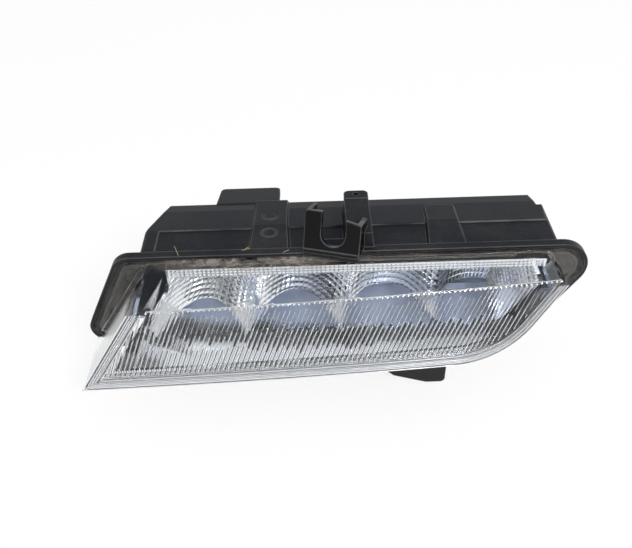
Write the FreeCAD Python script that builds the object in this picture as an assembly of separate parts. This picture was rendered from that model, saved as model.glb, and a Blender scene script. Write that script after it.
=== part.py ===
import FreeCAD, Part
import math
import os
from FreeCAD import Placement, Rotation, Vector

# Bumper light. Millimetres, X to the right, Y to the rear, Z up.
# Shapes are drawn from the middle of the flange's top edge, with the front of its lip near y = 0,
# and are moved on export so that the centre of the upper bracket's slot is the origin.

# Flange, seen from the front: top corners, edge slopes (x per z) and corner radii.
FLANGE_LEFT = -96.7
FLANGE_RIGHT = 119.0
FLANGE_HEIGHT = 49.0
FLANGE_LEFT_SLOPE = 0.50
FLANGE_RIGHT_SLOPE = 0.63
FLANGE_RADII = (9.0, 12.5, 25.0, 8.5)
FLANGE_THICK = 1.8
FLANGE_Y = 2.4

# Sealing channel between the flange's two lips.
LIP_OUTER_WIDTH = 1.6
LIP_INNER_WIDTH = 1.2
CHANNEL_WIDTH = 3.0
LIP_OUTER_HEIGHT = 2.2
LIP_INNER_HEIGHT = 1.2
SEALANT_HEIGHT = 0.9

# Clear lens.
LENS_LEFT = -85.0
LENS_RIGHT = 99.5
LENS_TOP = -2.8
LENS_BOTTOM = 2.6 - FLANGE_HEIGHT
LENS_LEFT_SLOPE = 0.67
LENS_RIGHT_SLOPE = 0.65
LENS_RADII = (3.0, 6.0, 40.0, 2.4)
LENS_WALL = 2.2
LENS_FOOT_GAP = 0.4
LENS_FOOT_LIFT = 0.4
LENS_WEB_THICK = 1.0
LENS_TOP_SLOPE = 0.17
LENS_RAKE = 0.17
LENS_REF_Z = -8.0
LENS_FRONT_ARC = ((-130.0, -27.8), (-5.6, -23.8), (120.0, -14.4))
LENS_FRONT_ROUND = 1.4
FLUTE_PITCH = 2.15
FLUTE_RISE = 0.18
FLUTE_SLOPE = 0.40
FLUTE_MARGIN = 5.2
FLUTE_SINK = 0.05
RIM_GROOVES = ((1.9, 2.5), (4.2, 5.0))
RIM_GROOVE_DEPTH = 0.45
RIM_GROOVE_TOP = -11.0

# Housing body behind the flange.
BODY_LEFT = -87.2
BODY_RIGHT = 101.0
BODY_TOP = -2.0
BODY_BOTTOM = 4.6 - FLANGE_HEIGHT
BODY_LEFT_SLOPE = 0.37
BODY_RIGHT_SLOPE = 0.76
BODY_RADII = (2.5, 4.0, 16.0, 5.0)
BODY_DEPTH = 46.0
BODY_WALL = 2.6
ROOF_INNER = -6.2
ROOF_CREASE = 22.0
ROOF_REAR_DROP = 2.4
ROOF_RECESS = 0.6
REAR_BEVEL = 7.0
CHAMFER_WIDTH = 9.0
CHAMFER_DEPTH = 24.0
NOTCH_WIDTH = 6.5
NOTCH_DEPTH = 10.5

# Raised pads on the roof: centre and width at the front and at the rear, and length.
PAD_TOP = -0.4
PAD_FLANK = 2.2
PADS = ((-30.8, 17.0, -30.4, 12.4, 45.6), (47.0, 16.0, 47.6, 12.0, 37.0))
CLOCK_RADIUS = 3.7
CLOCK_DEPTH = 0.3

# Buttress behind the upper bracket, with a pilot hole at its rear end.
BUTTRESS_X = 8.6
BUTTRESS_TOP = 7.6
BUTTRESS_TOP_WIDTH = 11.0
BUTTRESS_BASE_WIDTH = 13.6
BUTTRESS_REAR = 30.0
LEDGE_WIDTH = 11.0
LEDGE_RISE = 0.3
LEDGE_DEPTH = 5.0
PILOT_RADIUS = 1.25
PILOT_LENGTH = 9.0
PILOT_SETBACK = 2.6

# Upper bracket: plate with an open U slot, leaning back and turned to the left.
SLOT_CENTRE = Vector(-3.0, -1.6, 10.2)
SLOT_RADIUS = 5.25
BRACKET_LEAN = 20.0
BRACKET_TURN = 16.0
BRACKET_LEFT = 12.6
BRACKET_RIGHT = 11.8
BRACKET_FOOT = 9.2
ARM_LEFT = 9.6
ARM_RIGHT = 5.4
BRACKET_PLATE = 2.4
CHEEK_THICK = 2.0
CHEEK_LENGTH = 13.0

# Rear tongue and lower fixing tab.
TONGUE_X = -42.3
TONGUE_WIDTH = 30.5
TONGUE_LENGTH = 16.0
TONGUE_THICK = 2.4
TONGUE_DROP = 2.6
TAB_FRONT = -6.0
TAB_THICK = 3.0
TAB_LEFT = 17.0
TAB_RIGHT = 50.6
TAB_BOTTOM = -FLANGE_HEIGHT - 29.0
TAB_CUT_LEFT = 25.5
TAB_CUT_BOTTOM = 41.5
TAB_CUT_RISE = 5.4
TAB_HOLE_X = 37.0
TAB_HOLE_Z = -FLANGE_HEIGHT - 16.0
TAB_HOLE_RADIUS = 3.25

# Plug socket and breather on the rear wall.
SOCKET_X = 38.0
SOCKET_Z = -25.0
SOCKET_WIDTH = 24.0
SOCKET_HEIGHT = 15.0
SOCKET_WALL = 1.8
SOCKET_LENGTH = 16.0
BLADE_PITCH = 5.0
BLADE_WIDTH = 1.5
BLADE_THICK = 0.8
BLADE_OUT = 8.0
BLADE_IN = 3.0
BREATHER_X = -62.0
BREATHER_Z = BODY_BOTTOM + 18.4
BREATHER_RADIUS = 4.0
BREATHER_BORE = 2.2
BREATHER_LENGTH = 5.0
CAP_RADIUS = 6.6
CAP_LIFT = 0.4
CAP_WALL = 1.4
FILTER_THICK = 0.8

# Four cups: paraboloids about horizontal axes at the height of the light sources.
CUP_COUNT = 4
CUP_PITCH = 41.3
CUP_FIRST_X = -58.7
CUP_SLOPE = 0.25
CUP_REF_Z = -20.0
CUP_AXIS_Z = -11.0
CUP_FOCUS = 8.3
CUP_FIRST_DEPTH = 22.1
CUP_STEP = 2.3
CUP_COLUMNS = 12
CUP_LEVELS = (-10.8, -13.8, -16.8, -19.8, -22.8, -25.8, -28.8, -31.8, -34.8, -40.2)
CUP_LEFT_AT_TOP = -74.0
CUP_LEFT_SLOPE = 0.62
CUP_RIGHT_GAP = 10.0
SHELL_THICK = 1.8
REFLECTOR_ROOF_TOP = -9.4
REFLECTOR_FRONT = -1.0
REFLECTOR_REAR = 35.0
BROW_GAP = 0.5
BROW_THICK = 1.4
LED_WINDOW = 7.0

# Bright floor below the cups: level at the rear, sloping down to the front.
FLOOR_Z = -31.0
FLOOR_BREAK = 12.4
FLOOR_SLOPE = 0.27
FLOOR_THICK = 1.5
FLOOR_REAR = 35.0
FLOOR_GAP = 1.0
RIM_TOP = -12.0
RIM_WIDTH = 4.6
RIM_THICK = 1.3
RIM_CLEAR = 0.4
FOOT_WIDTH = 12.0
FOOT_THICK = 1.6

# Boards, light sources and heat sink above and behind the cups.
BOARD_THICK = 1.4
BOARD_FRONT = 6.0
BOARD_REAR = 34.0
BOARD_LEFT = -70.0
BOARD_RIGHT = 78.0
STACK_GAP = 0.1
PAD_THICK = 0.3
SINK_THICK = 1.2
SINK_WALL_Y = 37.0
SINK_BOTTOM = -29.0
SINK_RIGHT_DROP = 14.0
FIN_COUNT = 11
FIN_PITCH = 7.0
FIN_FIRST_X = -64.0
FIN_THICK = 1.0
FIN_DEPTH = 4.6
LED_SIZE = 3.5
LED_BODY = 0.9
LED_DOME = 1.4
DRIVER_LEFT = -60.0
DRIVER_RIGHT = -4.0
DRIVER_TOP = -13.0
DRIVER_BOTTOM = -27.6
DRIVER_THICK = 1.6
LEAD_RADIUS = 0.7
LEAD_BEND = 4.0

# Screws: head radius, head height, shank radius.
SCREW_HEAD = 3.2
SCREW_HEAD_HEIGHT = 1.9
SCREW_SHANK = 1.4
SCREW_FIT = 0.05
POST_RADIUS = 3.4
REFLECTOR_SCREWS_X = (-62.0, -20.0, 50.0)
REFLECTOR_SCREW_Y = 30.0
REFLECTOR_SCREW_LENGTH = 9.0
REFLECTOR_SCREW_SPARE = 0.4
BOARD_SCREWS_X = (-62.0, 3.0, 48.0)
BOARD_SCREW_Y = 32.4
DRIVER_SCREWS_X = (-56.0, -8.0)
DRIVER_SCREW_Z = -16.0

X_AXIS = Vector(1, 0, 0)
Y_AXIS = Vector(0, 1, 0)
Z_AXIS = Vector(0, 0, 1)


def box(x0, x1, y0, y1, z0, z1):
    return Part.makeBox(x1 - x0, y1 - y0, z1 - z0, Vector(x0, y0, z0))


def cylinder(radius, start, axis, length):
    return Part.makeCylinder(radius, length, start, axis)


def fuse(shapes):
    first = shapes[0]
    if len(shapes) == 1:
        return first
    return first.multiFuse(shapes[1:]).removeSplitter()


def rounded_wire(points, radii):
    count = len(points)
    starts = []
    ends = []
    mids = []
    for i in range(count):
        here = points[i]
        to_last = (points[i - 1] - here).normalize()
        to_next = (points[(i + 1) % count] - here).normalize()
        radius = radii[i]
        if radius <= 0:
            starts.append(here)
            ends.append(here)
            mids.append(None)
            continue
        half = to_last.getAngle(to_next) / 2
        reach = radius / math.tan(half)
        middle = (to_last + to_next).normalize()
        centre = here + middle * (radius / math.sin(half))
        starts.append(here + to_last * reach)
        ends.append(here + to_next * reach)
        mids.append(centre - middle * radius)
    edges = []
    for i in range(count):
        if mids[i] is not None:
            edges.append(Part.Arc(starts[i], mids[i], ends[i]).toShape())
        edges.append(Part.makeLine(ends[i], starts[(i + 1) % count]))
    return Part.Wire(edges)


def slanted_wire(left, right, top, bottom, left_slope, right_slope, radii, y):
    drop = top - bottom
    points = [
        Vector(left, y, top),
        Vector(right, y, top),
        Vector(right - right_slope * drop, y, bottom),
        Vector(left - left_slope * drop, y, bottom),
    ]
    return rounded_wire(points, radii)


def flange_wire(inset, y):
    left = FLANGE_LEFT + inset * (math.hypot(1, FLANGE_LEFT_SLOPE) - FLANGE_LEFT_SLOPE)
    right = FLANGE_RIGHT - inset * (math.hypot(1, FLANGE_RIGHT_SLOPE) + FLANGE_RIGHT_SLOPE)
    radii = [radius - inset for radius in FLANGE_RADII]
    return slanted_wire(left, right, -inset, inset - FLANGE_HEIGHT,
                        FLANGE_LEFT_SLOPE, FLANGE_RIGHT_SLOPE, radii, y)


def lens_wire(inset, y):
    left = LENS_LEFT + inset * (math.hypot(1, LENS_LEFT_SLOPE) - LENS_LEFT_SLOPE)
    right = LENS_RIGHT - inset * (math.hypot(1, LENS_RIGHT_SLOPE) + LENS_RIGHT_SLOPE)
    radii = [max(radius - inset, 0.8) for radius in LENS_RADII]
    return slanted_wire(left, right, LENS_TOP - inset, LENS_BOTTOM + inset,
                        LENS_LEFT_SLOPE, LENS_RIGHT_SLOPE, radii, y)


def prism(wire, direction):
    return Part.Face(wire).extrude(direction)


def flange_ring(outer, inner, y0, y1):
    reach = Vector(0, y1 - y0, 0)
    return prism(flange_wire(outer, y0), reach).cut(prism(flange_wire(inner, y0), reach))


def plan_prism(points, z0, z1, slope=0.0):
    corners = [Vector(x + slope * (z0 - BODY_TOP), y, z0) for x, y in points]
    wire = Part.makePolygon(corners + corners[:1])
    return prism(wire, Vector(slope * (z1 - z0), 0, z1 - z0))


def profile_prism(points, x0, x1):
    corners = [Vector(x0, y, z) for y, z in points]
    wire = Part.makePolygon(corners + corners[:1])
    return prism(wire, Vector(x1 - x0, 0, 0))


def body_right(z):
    return BODY_RIGHT - BODY_RIGHT_SLOPE * (BODY_TOP - z)


# Clear lens: walls, raked front with flutes inside, web and foot in the channel.
def front_points(offset, count):
    curve = Part.Arc(*[Vector(x, y + offset, LENS_REF_Z) for x, y in LENS_FRONT_ARC])
    span = curve.LastParameter - curve.FirstParameter
    return [curve.value(curve.FirstParameter + span * i / count) for i in range(count + 1)]


def behind_front(offset, fluted):
    lean = Vector(FLUTE_SLOPE, LENS_RAKE, 1.0)
    unit = Vector(lean).normalize()

    def square(point):
        return point - unit * (point - Vector(0, 0, LENS_REF_Z)).dot(unit)

    edges = []
    if fluted:
        count = int((LENS_FRONT_ARC[2][0] - LENS_FRONT_ARC[0][0]) / FLUTE_PITCH)
        knots = front_points(offset, count)
        for i in range(count):
            middle = (knots[i] + knots[i + 1]) * 0.5 - Vector(0, FLUTE_RISE, 0)
            edges.append(Part.Arc(square(knots[i]), square(middle), square(knots[i + 1])).toShape())
    else:
        knots = front_points(offset, 2)
        edges.append(Part.Arc(square(knots[0]), square(knots[1]), square(knots[2])).toShape())
    first = square(knots[0])
    last = square(knots[-1])
    back_left = square(Vector(knots[0].x, 25.0, LENS_REF_Z))
    back_right = square(Vector(knots[-1].x, 25.0, LENS_REF_Z))
    edges.append(Part.makeLine(last, back_right))
    edges.append(Part.makeLine(back_right, back_left))
    edges.append(Part.makeLine(back_left, first))
    wire = Part.Wire(edges)
    reach = 2 * FLANGE_HEIGHT
    wire.translate(lean * -reach)
    return prism(wire, lean * (2 * reach))


def below_top(inset):
    front = -60.0
    level = LENS_TOP - inset
    bend = FLANGE_Y - LIP_OUTER_HEIGHT
    profile = [(12.0, level), (bend, level), (front, level + LENS_TOP_SLOPE * (front - bend)),
               (front, LENS_BOTTOM - 20.0), (12.0, LENS_BOTTOM - 20.0)]
    return profile_prism(profile, -160.0, 160.0)


def lens_volume(inset, back, fluted):
    walls = prism(lens_wire(inset, back), Vector(0, -50.0 - back, 0))
    return walls.common(below_top(inset)).common(behind_front(inset, fluted))


def make_lens():
    seat = FLANGE_Y - LIP_INNER_HEIGHT - 0.2
    web_front = seat - LENS_WEB_THICK
    foot_outer = LIP_OUTER_WIDTH + LENS_FOOT_GAP
    foot_inner = LIP_OUTER_WIDTH + CHANNEL_WIDTH - LENS_FOOT_GAP
    outer = lens_volume(0.0, seat, False)
    front_edges = [e for e in outer.Edges if e.BoundBox.YMax < -12.0 and e.BoundBox.YMin < -14.0]
    outer = outer.makeFillet(LENS_FRONT_ROUND, front_edges)
    web = prism(flange_wire(foot_outer, web_front), Vector(0, LENS_WEB_THICK, 0))
    foot = flange_ring(foot_outer, foot_inner, web_front, FLANGE_Y - LENS_FOOT_LIFT)
    inner = lens_volume(LENS_WALL, FLANGE_Y, False)
    panel = prism(lens_wire(FLUTE_MARGIN, -10.0), Vector(0, -40.0, 0))
    panel = panel.common(below_top(LENS_WALL)).common(behind_front(LENS_WALL - FLUTE_SINK, True))
    shape = fuse([outer, web, foot]).cut(inner).cut(panel)
    skin = outer.cut(behind_front(RIM_GROOVE_DEPTH, False))
    skin = skin.common(box(-160, 160, -60, -8, LENS_BOTTOM - 5.0, RIM_GROOVE_TOP))
    for near, far in RIM_GROOVES:
        reach = Vector(0, -60.0, 0)
        ring = prism(lens_wire(near, 0.0), reach).cut(prism(lens_wire(far, 0.0), reach))
        shape = shape.cut(ring.common(skin))
    return shape


def make_sealant():
    outer = LIP_OUTER_WIDTH
    inner = LIP_OUTER_WIDTH + CHANNEL_WIDTH
    bead = flange_ring(outer, inner, FLANGE_Y - SEALANT_HEIGHT, FLANGE_Y)
    foot = flange_ring(outer + LENS_FOOT_GAP, inner - LENS_FOOT_GAP,
                       FLANGE_Y - SEALANT_HEIGHT - 1.0, FLANGE_Y - LENS_FOOT_LIFT)
    return bead.cut(foot)


# Housing.
def body_solid(inset, front, rear):
    left = BODY_LEFT + inset * (math.hypot(1, BODY_LEFT_SLOPE) - BODY_LEFT_SLOPE)
    right = BODY_RIGHT - inset * (math.hypot(1, BODY_RIGHT_SLOPE) + BODY_RIGHT_SLOPE)
    radii = [max(radius - inset, 1.0) for radius in BODY_RADII]
    top = BODY_TOP - inset
    wire = slanted_wire(left, right, top, BODY_BOTTOM + inset,
                        BODY_LEFT_SLOPE, BODY_RIGHT_SLOPE, radii, front)
    solid = prism(wire, Vector(0, rear - front, 0))
    start = BODY_DEPTH - CHAMFER_DEPTH - inset
    wedge = [(BODY_LEFT + inset, start), (BODY_LEFT + inset + CHAMFER_WIDTH, BODY_DEPTH - inset),
             (BODY_LEFT + inset + CHAMFER_WIDTH, BODY_DEPTH + 5.0), (BODY_LEFT - 40.0, BODY_DEPTH + 5.0),
             (BODY_LEFT - 40.0, start)]
    notch_left = BODY_RIGHT - NOTCH_WIDTH - inset
    notch_front = BODY_DEPTH - NOTCH_DEPTH - inset
    notch = [(notch_left, notch_front), (BODY_RIGHT + 40.0, notch_front),
             (BODY_RIGHT + 40.0, BODY_DEPTH + 5.0), (notch_left, BODY_DEPTH + 5.0)]
    solid = solid.cut(plan_prism(wedge, BODY_BOTTOM - 5.0, 5.0, BODY_LEFT_SLOPE))
    return solid.cut(plan_prism(notch, BODY_BOTTOM - 5.0, 5.0, BODY_RIGHT_SLOPE))


def make_cavity():
    cavity = body_solid(BODY_WALL, FLANGE_Y - LIP_OUTER_HEIGHT - 1.0, BODY_DEPTH - BODY_WALL)
    return cavity.common(box(-160, 160, -20, 100, BODY_BOTTOM - 5, ROOF_INNER))


def roof_cuts():
    rear = BODY_TOP - ROOF_REAR_DROP
    slope = ROOF_REAR_DROP / (BODY_DEPTH - ROOF_CREASE)
    bevel = BODY_DEPTH - REAR_BEVEL
    slope_cut = profile_prism([(ROOF_CREASE, BODY_TOP), (bevel, BODY_TOP - slope * (bevel - ROOF_CREASE)),
                               (BODY_DEPTH + 1.0, rear - 0.8), (BODY_DEPTH + 1.0, 5.0),
                               (ROOF_CREASE, 5.0)], -160, 160)
    left = BODY_LEFT + 6.0
    right = BODY_RIGHT - 6.0
    recess = box(left, right, FLANGE_Y + FLANGE_THICK, ROOF_CREASE, BODY_TOP - ROOF_RECESS, 5.0)
    return fuse([slope_cut, recess])


def make_pad(front_x, front_width, rear_x, rear_width, length):
    front = FLANGE_Y + FLANGE_THICK - 1.0

    def outline(grow, z):
        points = [Vector(front_x - front_width / 2 - grow, front, z),
                  Vector(front_x + front_width / 2 + grow, front, z),
                  Vector(rear_x + rear_width / 2 + grow, length - 2.0 + grow, z),
                  Vector(rear_x - rear_width / 2 - grow, length - 2.0 + grow, z)]
        return Part.makePolygon(points + points[:1])
    low = BODY_TOP - ROOF_REAR_DROP - 1.0
    pad = Part.makeLoft([outline(PAD_FLANK, low), outline(0.0, PAD_TOP)], True, True)
    drop = ROOF_REAR_DROP
    tilt = profile_prism([(ROOF_CREASE, PAD_TOP), (BODY_DEPTH, PAD_TOP - drop), (BODY_DEPTH, 5.0),
                          (ROOF_CREASE, 5.0)], -160, 160)
    return pad.cut(tilt)


def make_buttress():
    low = ROOF_INNER + 1.0
    base = BUTTRESS_BASE_WIDTH / 2
    top = BUTTRESS_TOP_WIDTH / 2
    front = FLANGE_Y + 0.5
    section = [Vector(BUTTRESS_X - base, front, low), Vector(BUTTRESS_X + base, front, low),
               Vector(BUTTRESS_X + top, front, BUTTRESS_TOP), Vector(BUTTRESS_X - top, front, BUTTRESS_TOP)]
    ridge = prism(Part.makePolygon(section + section[:1]), Vector(0, BUTTRESS_REAR - front, 0))
    half = LEDGE_WIDTH / 2
    ledge_rear = BUTTRESS_REAR + LEDGE_DEPTH
    plan = [Vector(BUTTRESS_X - half, BUTTRESS_REAR - 1.0, low),
            Vector(BUTTRESS_X + half, BUTTRESS_REAR - 1.0, low),
            Vector(BUTTRESS_X + half, ledge_rear, low), Vector(BUTTRESS_X - half, ledge_rear, low)]
    ledge = prism(rounded_wire(plan, (0, 0, 2.4, 2.4)), Vector(0, 0, BUTTRESS_TOP + LEDGE_RISE - low))
    pilot_start = Vector(BUTTRESS_X, ledge_rear - PILOT_SETBACK, BUTTRESS_TOP + LEDGE_RISE)
    pilot = cylinder(PILOT_RADIUS, pilot_start, Vector(0, 0, -1), PILOT_LENGTH)
    return fuse([ridge, ledge]).cut(pilot)


def bracket_placement():
    lean = Rotation(X_AXIS, -BRACKET_LEAN)
    turn = Rotation(Z_AXIS, -BRACKET_TURN)
    return Placement(SLOT_CENTRE, turn.multiply(lean))


def make_bracket():
    outline = [Vector(-BRACKET_LEFT, 0, -BRACKET_FOOT), Vector(BRACKET_RIGHT, 0, -BRACKET_FOOT),
               Vector(BRACKET_RIGHT, 0, ARM_RIGHT), Vector(SLOT_RADIUS, 0, ARM_RIGHT + 1.4),
               Vector(SLOT_RADIUS, 0, ARM_LEFT + 4.0), Vector(-SLOT_RADIUS, 0, ARM_LEFT + 4.0),
               Vector(-SLOT_RADIUS, 0, ARM_LEFT), Vector(-BRACKET_LEFT, 0, ARM_LEFT)]
    shell = prism(rounded_wire(outline, (1.6, 1.6, 1.0, 0, 0, 0, 0, 1.0)), Vector(0, CHEEK_LENGTH, 0))
    pocket = box(CHEEK_THICK - BRACKET_LEFT, BRACKET_RIGHT - CHEEK_THICK, BRACKET_PLATE, 40.0,
                 -BRACKET_FOOT - 5.0, ARM_LEFT + 10.0)
    slot = cylinder(SLOT_RADIUS, Vector(0, -1.0, 0), Y_AXIS, BRACKET_PLATE + 2.0)
    slot_open = box(-SLOT_RADIUS, SLOT_RADIUS, -1.0, BRACKET_PLATE + 1.0, 0.0, ARM_LEFT + 10.0)
    bracket = shell.cut(fuse([pocket, slot, slot_open]))
    bracket.Placement = bracket_placement()
    channel = box(-160, 160, -60.0, FLANGE_Y + 0.5, -60.0, -LIP_OUTER_WIDTH / 2)
    return bracket.cut(channel)


def bracket_bridge():
    reach = [Vector(-BRACKET_LEFT, 0.4, -BRACKET_FOOT), Vector(BRACKET_RIGHT, 0.4, -BRACKET_FOOT)]
    place = bracket_placement()
    corners = [place.multVec(point) for point in reach]
    level = corners[0].z + 0.1
    points = [Vector(corners[0].x, corners[0].y, 0), Vector(corners[1].x, corners[1].y, 0),
              Vector(corners[1].x + 1.0, FLANGE_Y + FLANGE_THICK + 1.0, 0),
              Vector(corners[0].x + 1.0, FLANGE_Y + FLANGE_THICK + 1.0, 0)]
    wire = Part.makePolygon(points + points[:1])
    wire.translate(Vector(0, 0, -0.6))
    return prism(wire, Vector(0, 0, level + 2.4))


def make_tongue():
    front = BODY_DEPTH - 4.0
    rear = BODY_DEPTH + TONGUE_LENGTH
    half = TONGUE_WIDTH / 2
    top = BODY_TOP - ROOF_REAR_DROP
    plan = [Vector(TONGUE_X - half, front, 0), Vector(TONGUE_X + half, front, 0),
            Vector(TONGUE_X + half, rear, 0), Vector(TONGUE_X - half + 1.5, rear, 0)]
    block = prism(rounded_wire(plan, (0, 0, 2.5, 2.5)), Vector(0, 0, 20.0))
    block.translate(Vector(0, 0, -15.0))
    profile = [(front, top - 0.6), (BODY_DEPTH, top - 0.2), (rear + 1.0, top - TONGUE_DROP),
               (rear + 1.0, top - TONGUE_DROP - TONGUE_THICK), (BODY_DEPTH, top - 0.2 - TONGUE_THICK),
               (front, top - 0.6 - TONGUE_THICK)]
    return block.common(profile_prism(profile, -160, 160))


def make_lower_tab():
    front = TAB_FRONT
    top = BODY_BOTTOM + 0.8
    points = [Vector(TAB_LEFT, front, -FLANGE_HEIGHT - 0.3), Vector(TAB_RIGHT, front, -FLANGE_HEIGHT - 0.3),
              Vector(TAB_RIGHT, front, TAB_BOTTOM), Vector(TAB_CUT_BOTTOM, front, TAB_BOTTOM),
              Vector(TAB_CUT_LEFT, front, TAB_BOTTOM + TAB_CUT_RISE),
              Vector(TAB_LEFT, front, TAB_BOTTOM + TAB_CUT_RISE + 8.0)]
    plate = prism(rounded_wire(points, (0, 0, 2.4, 3.0, 3.0, 3.0)), Vector(0, TAB_THICK, 0))
    rear = FLANGE_Y + FLANGE_THICK
    shelf = box(TAB_LEFT, TAB_RIGHT, front, rear, -FLANGE_HEIGHT - 2.6, -FLANGE_HEIGHT - 0.3)
    root = box(TAB_LEFT, TAB_RIGHT, FLANGE_Y, rear, -FLANGE_HEIGHT - 2.6, top - 3.0)
    ribs = []
    for x in (TAB_LEFT, TAB_RIGHT - TAB_THICK):
        profile = [(front + 1.0, TAB_BOTTOM + 16.0), (front + TAB_THICK, TAB_BOTTOM + 14.0),
                   (rear + 8.0, BODY_BOTTOM - 0.5), (rear + 8.0, BODY_BOTTOM + 1.0),
                   (FLANGE_Y + 0.5, BODY_BOTTOM + 1.0), (FLANGE_Y + 0.5, -FLANGE_HEIGHT - 1.0),
                   (front + 1.0, -FLANGE_HEIGHT - 1.0)]
        ribs.append(profile_prism(profile, x, x + TAB_THICK))
    hole = cylinder(TAB_HOLE_RADIUS, Vector(TAB_HOLE_X, front - 5.0, TAB_HOLE_Z), Y_AXIS, 40.0)
    return fuse([plate, shelf, root] + ribs).cut(hole)


def socket_wire(shrink, y):
    half = SOCKET_WIDTH / 2 - shrink
    tall = SOCKET_HEIGHT / 2 - shrink
    points = [Vector(SOCKET_X - half, y, SOCKET_Z + tall), Vector(SOCKET_X + half, y, SOCKET_Z + tall),
              Vector(SOCKET_X + half, y, SOCKET_Z - tall), Vector(SOCKET_X - half, y, SOCKET_Z - tall)]
    return rounded_wire(points, [3.0 - shrink] * 4)


def make_socket():
    shroud = prism(socket_wire(0.0, BODY_DEPTH - 1.0), Vector(0, SOCKET_LENGTH + 1.0, 0))
    hollow = prism(socket_wire(SOCKET_WALL, BODY_DEPTH), Vector(0, SOCKET_LENGTH + 1.0, 0))
    latch = box(SOCKET_X - 3.0, SOCKET_X + 3.0, BODY_DEPTH + SOCKET_LENGTH - 6.0,
                BODY_DEPTH + SOCKET_LENGTH - 2.0, SOCKET_Z + SOCKET_HEIGHT / 2 - 0.5,
                SOCKET_Z + SOCKET_HEIGHT / 2 + 1.4)
    return fuse([shroud.cut(hollow), latch])


def blade_x(index):
    return SOCKET_X + (index - 1) * BLADE_PITCH


def make_blades():
    blades = []
    for index in range(3):
        x = blade_x(index)
        blades.append(box(x - BLADE_WIDTH / 2, x + BLADE_WIDTH / 2, BODY_DEPTH - BODY_WALL - BLADE_IN,
                          BODY_DEPTH + BLADE_OUT, SOCKET_Z - BLADE_THICK / 2, SOCKET_Z + BLADE_THICK / 2))
    return Part.makeCompound(blades)


def rear_ribs():
    rear = BODY_DEPTH - 0.5
    out = BODY_DEPTH + 2.2
    ribs = [box(BODY_LEFT + 14.0, SOCKET_X + 20.0, rear, out, BODY_BOTTOM + 6.8, BODY_BOTTOM + 8.4)]
    for x in (-76.0, -44.0, -8.0, 12.0, SOCKET_X + 20.0):
        ribs.append(box(x - 0.8, x + 0.8, rear, out, BODY_BOTTOM + 4.4, -8.0))
    return ribs


def ear_gussets():
    gussets = []
    front = FLANGE_Y + FLANGE_THICK - 0.5
    for z in (-14.0, -32.0):
        left = BODY_LEFT - BODY_LEFT_SLOPE * (BODY_TOP - z)
        corners = [(left + 1.0, front), (left - 9.0, front), (left + 1.0, front + 11.0)]
        gussets.append(plan_prism(corners, z - 0.8, z + 0.8))
        right = body_right(z)
        corners = [(right - 1.5, front), (right + 9.0, front), (right - 1.5, front + 11.0)]
        gussets.append(plan_prism(corners, z - 0.8, z + 0.8))
    return gussets


def make_housing():
    body = body_solid(0.0, FLANGE_Y + 1.0, BODY_DEPTH).cut(roof_cuts())
    plate = prism(flange_wire(0.0, FLANGE_Y), Vector(0, FLANGE_THICK, 0))
    outer_lip = flange_ring(0.0, LIP_OUTER_WIDTH, FLANGE_Y - LIP_OUTER_HEIGHT, FLANGE_Y)
    inner_start = LIP_OUTER_WIDTH + CHANNEL_WIDTH
    inner_lip = flange_ring(inner_start, inner_start + LIP_INNER_WIDTH,
                            FLANGE_Y - LIP_INNER_HEIGHT, FLANGE_Y)
    pads = [make_pad(*pad) for pad in PADS]
    spigot = cylinder(BREATHER_RADIUS, Vector(BREATHER_X, BODY_DEPTH - 0.5, BREATHER_Z), Y_AXIS,
                      BREATHER_LENGTH + 0.5)
    shape = fuse([body, plate, outer_lip, inner_lip, make_buttress(), make_bracket(), bracket_bridge(),
                  make_tongue(), make_lower_tab(), make_socket(), spigot]
                 + pads + rear_ribs() + ear_gussets())
    shape = shape.cut(make_cavity())
    posts = []
    pilots = []
    post_top = FLOOR_Z - FLOOR_THICK
    pilot_low = FLOOR_Z + FOOT_THICK - REFLECTOR_SCREW_LENGTH - REFLECTOR_SCREW_SPARE
    for x in REFLECTOR_SCREWS_X:
        foot = Vector(x, REFLECTOR_SCREW_Y, BODY_BOTTOM + 0.5)
        posts.append(cylinder(POST_RADIUS, foot, Z_AXIS, post_top - foot.z))
        start = Vector(x, REFLECTOR_SCREW_Y, pilot_low)
        pilots.append(cylinder(SCREW_SHANK + SCREW_FIT, start, Z_AXIS, 20.0))
    shape = fuse([shape] + posts)
    bore = cylinder(BREATHER_BORE, Vector(BREATHER_X, 30.0, BREATHER_Z), Y_AXIS, 40.0)
    clocks = []
    pad_x = PADS[0][0]
    for y in (16.0, 30.0):
        slope = ROOF_REAR_DROP / (BODY_DEPTH - ROOF_CREASE)
        top = PAD_TOP - max(0.0, y - ROOF_CREASE) * slope
        clock = cylinder(CLOCK_RADIUS, Vector(pad_x, y, top - CLOCK_DEPTH), Z_AXIS, 3.0)
        clocks.append(clock.cut(cylinder(CLOCK_RADIUS - 0.9, Vector(pad_x, y, -10.0), Z_AXIS, 20.0)))
    blade_slots = make_blades()
    return shape.cut(fuse(pilots + [bore] + clocks)).cut(blade_slots)


# Reflector with four cups, drawn as level sections joined by straight facets.
def cup_axis_x(index, z):
    return CUP_FIRST_X + CUP_PITCH * index + CUP_SLOPE * (z - CUP_REF_Z)


def cup_depth(index):
    return CUP_FIRST_DEPTH + CUP_STEP * index


def cup_bounds(index, z, left, right):
    shift = 2 * CUP_FOCUS * CUP_STEP / CUP_PITCH
    low = left if index == 0 else cup_axis_x(index, z) - CUP_PITCH / 2 + shift
    high = right if index == CUP_COUNT - 1 else cup_axis_x(index, z) + CUP_PITCH / 2 + shift
    return low, high


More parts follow.
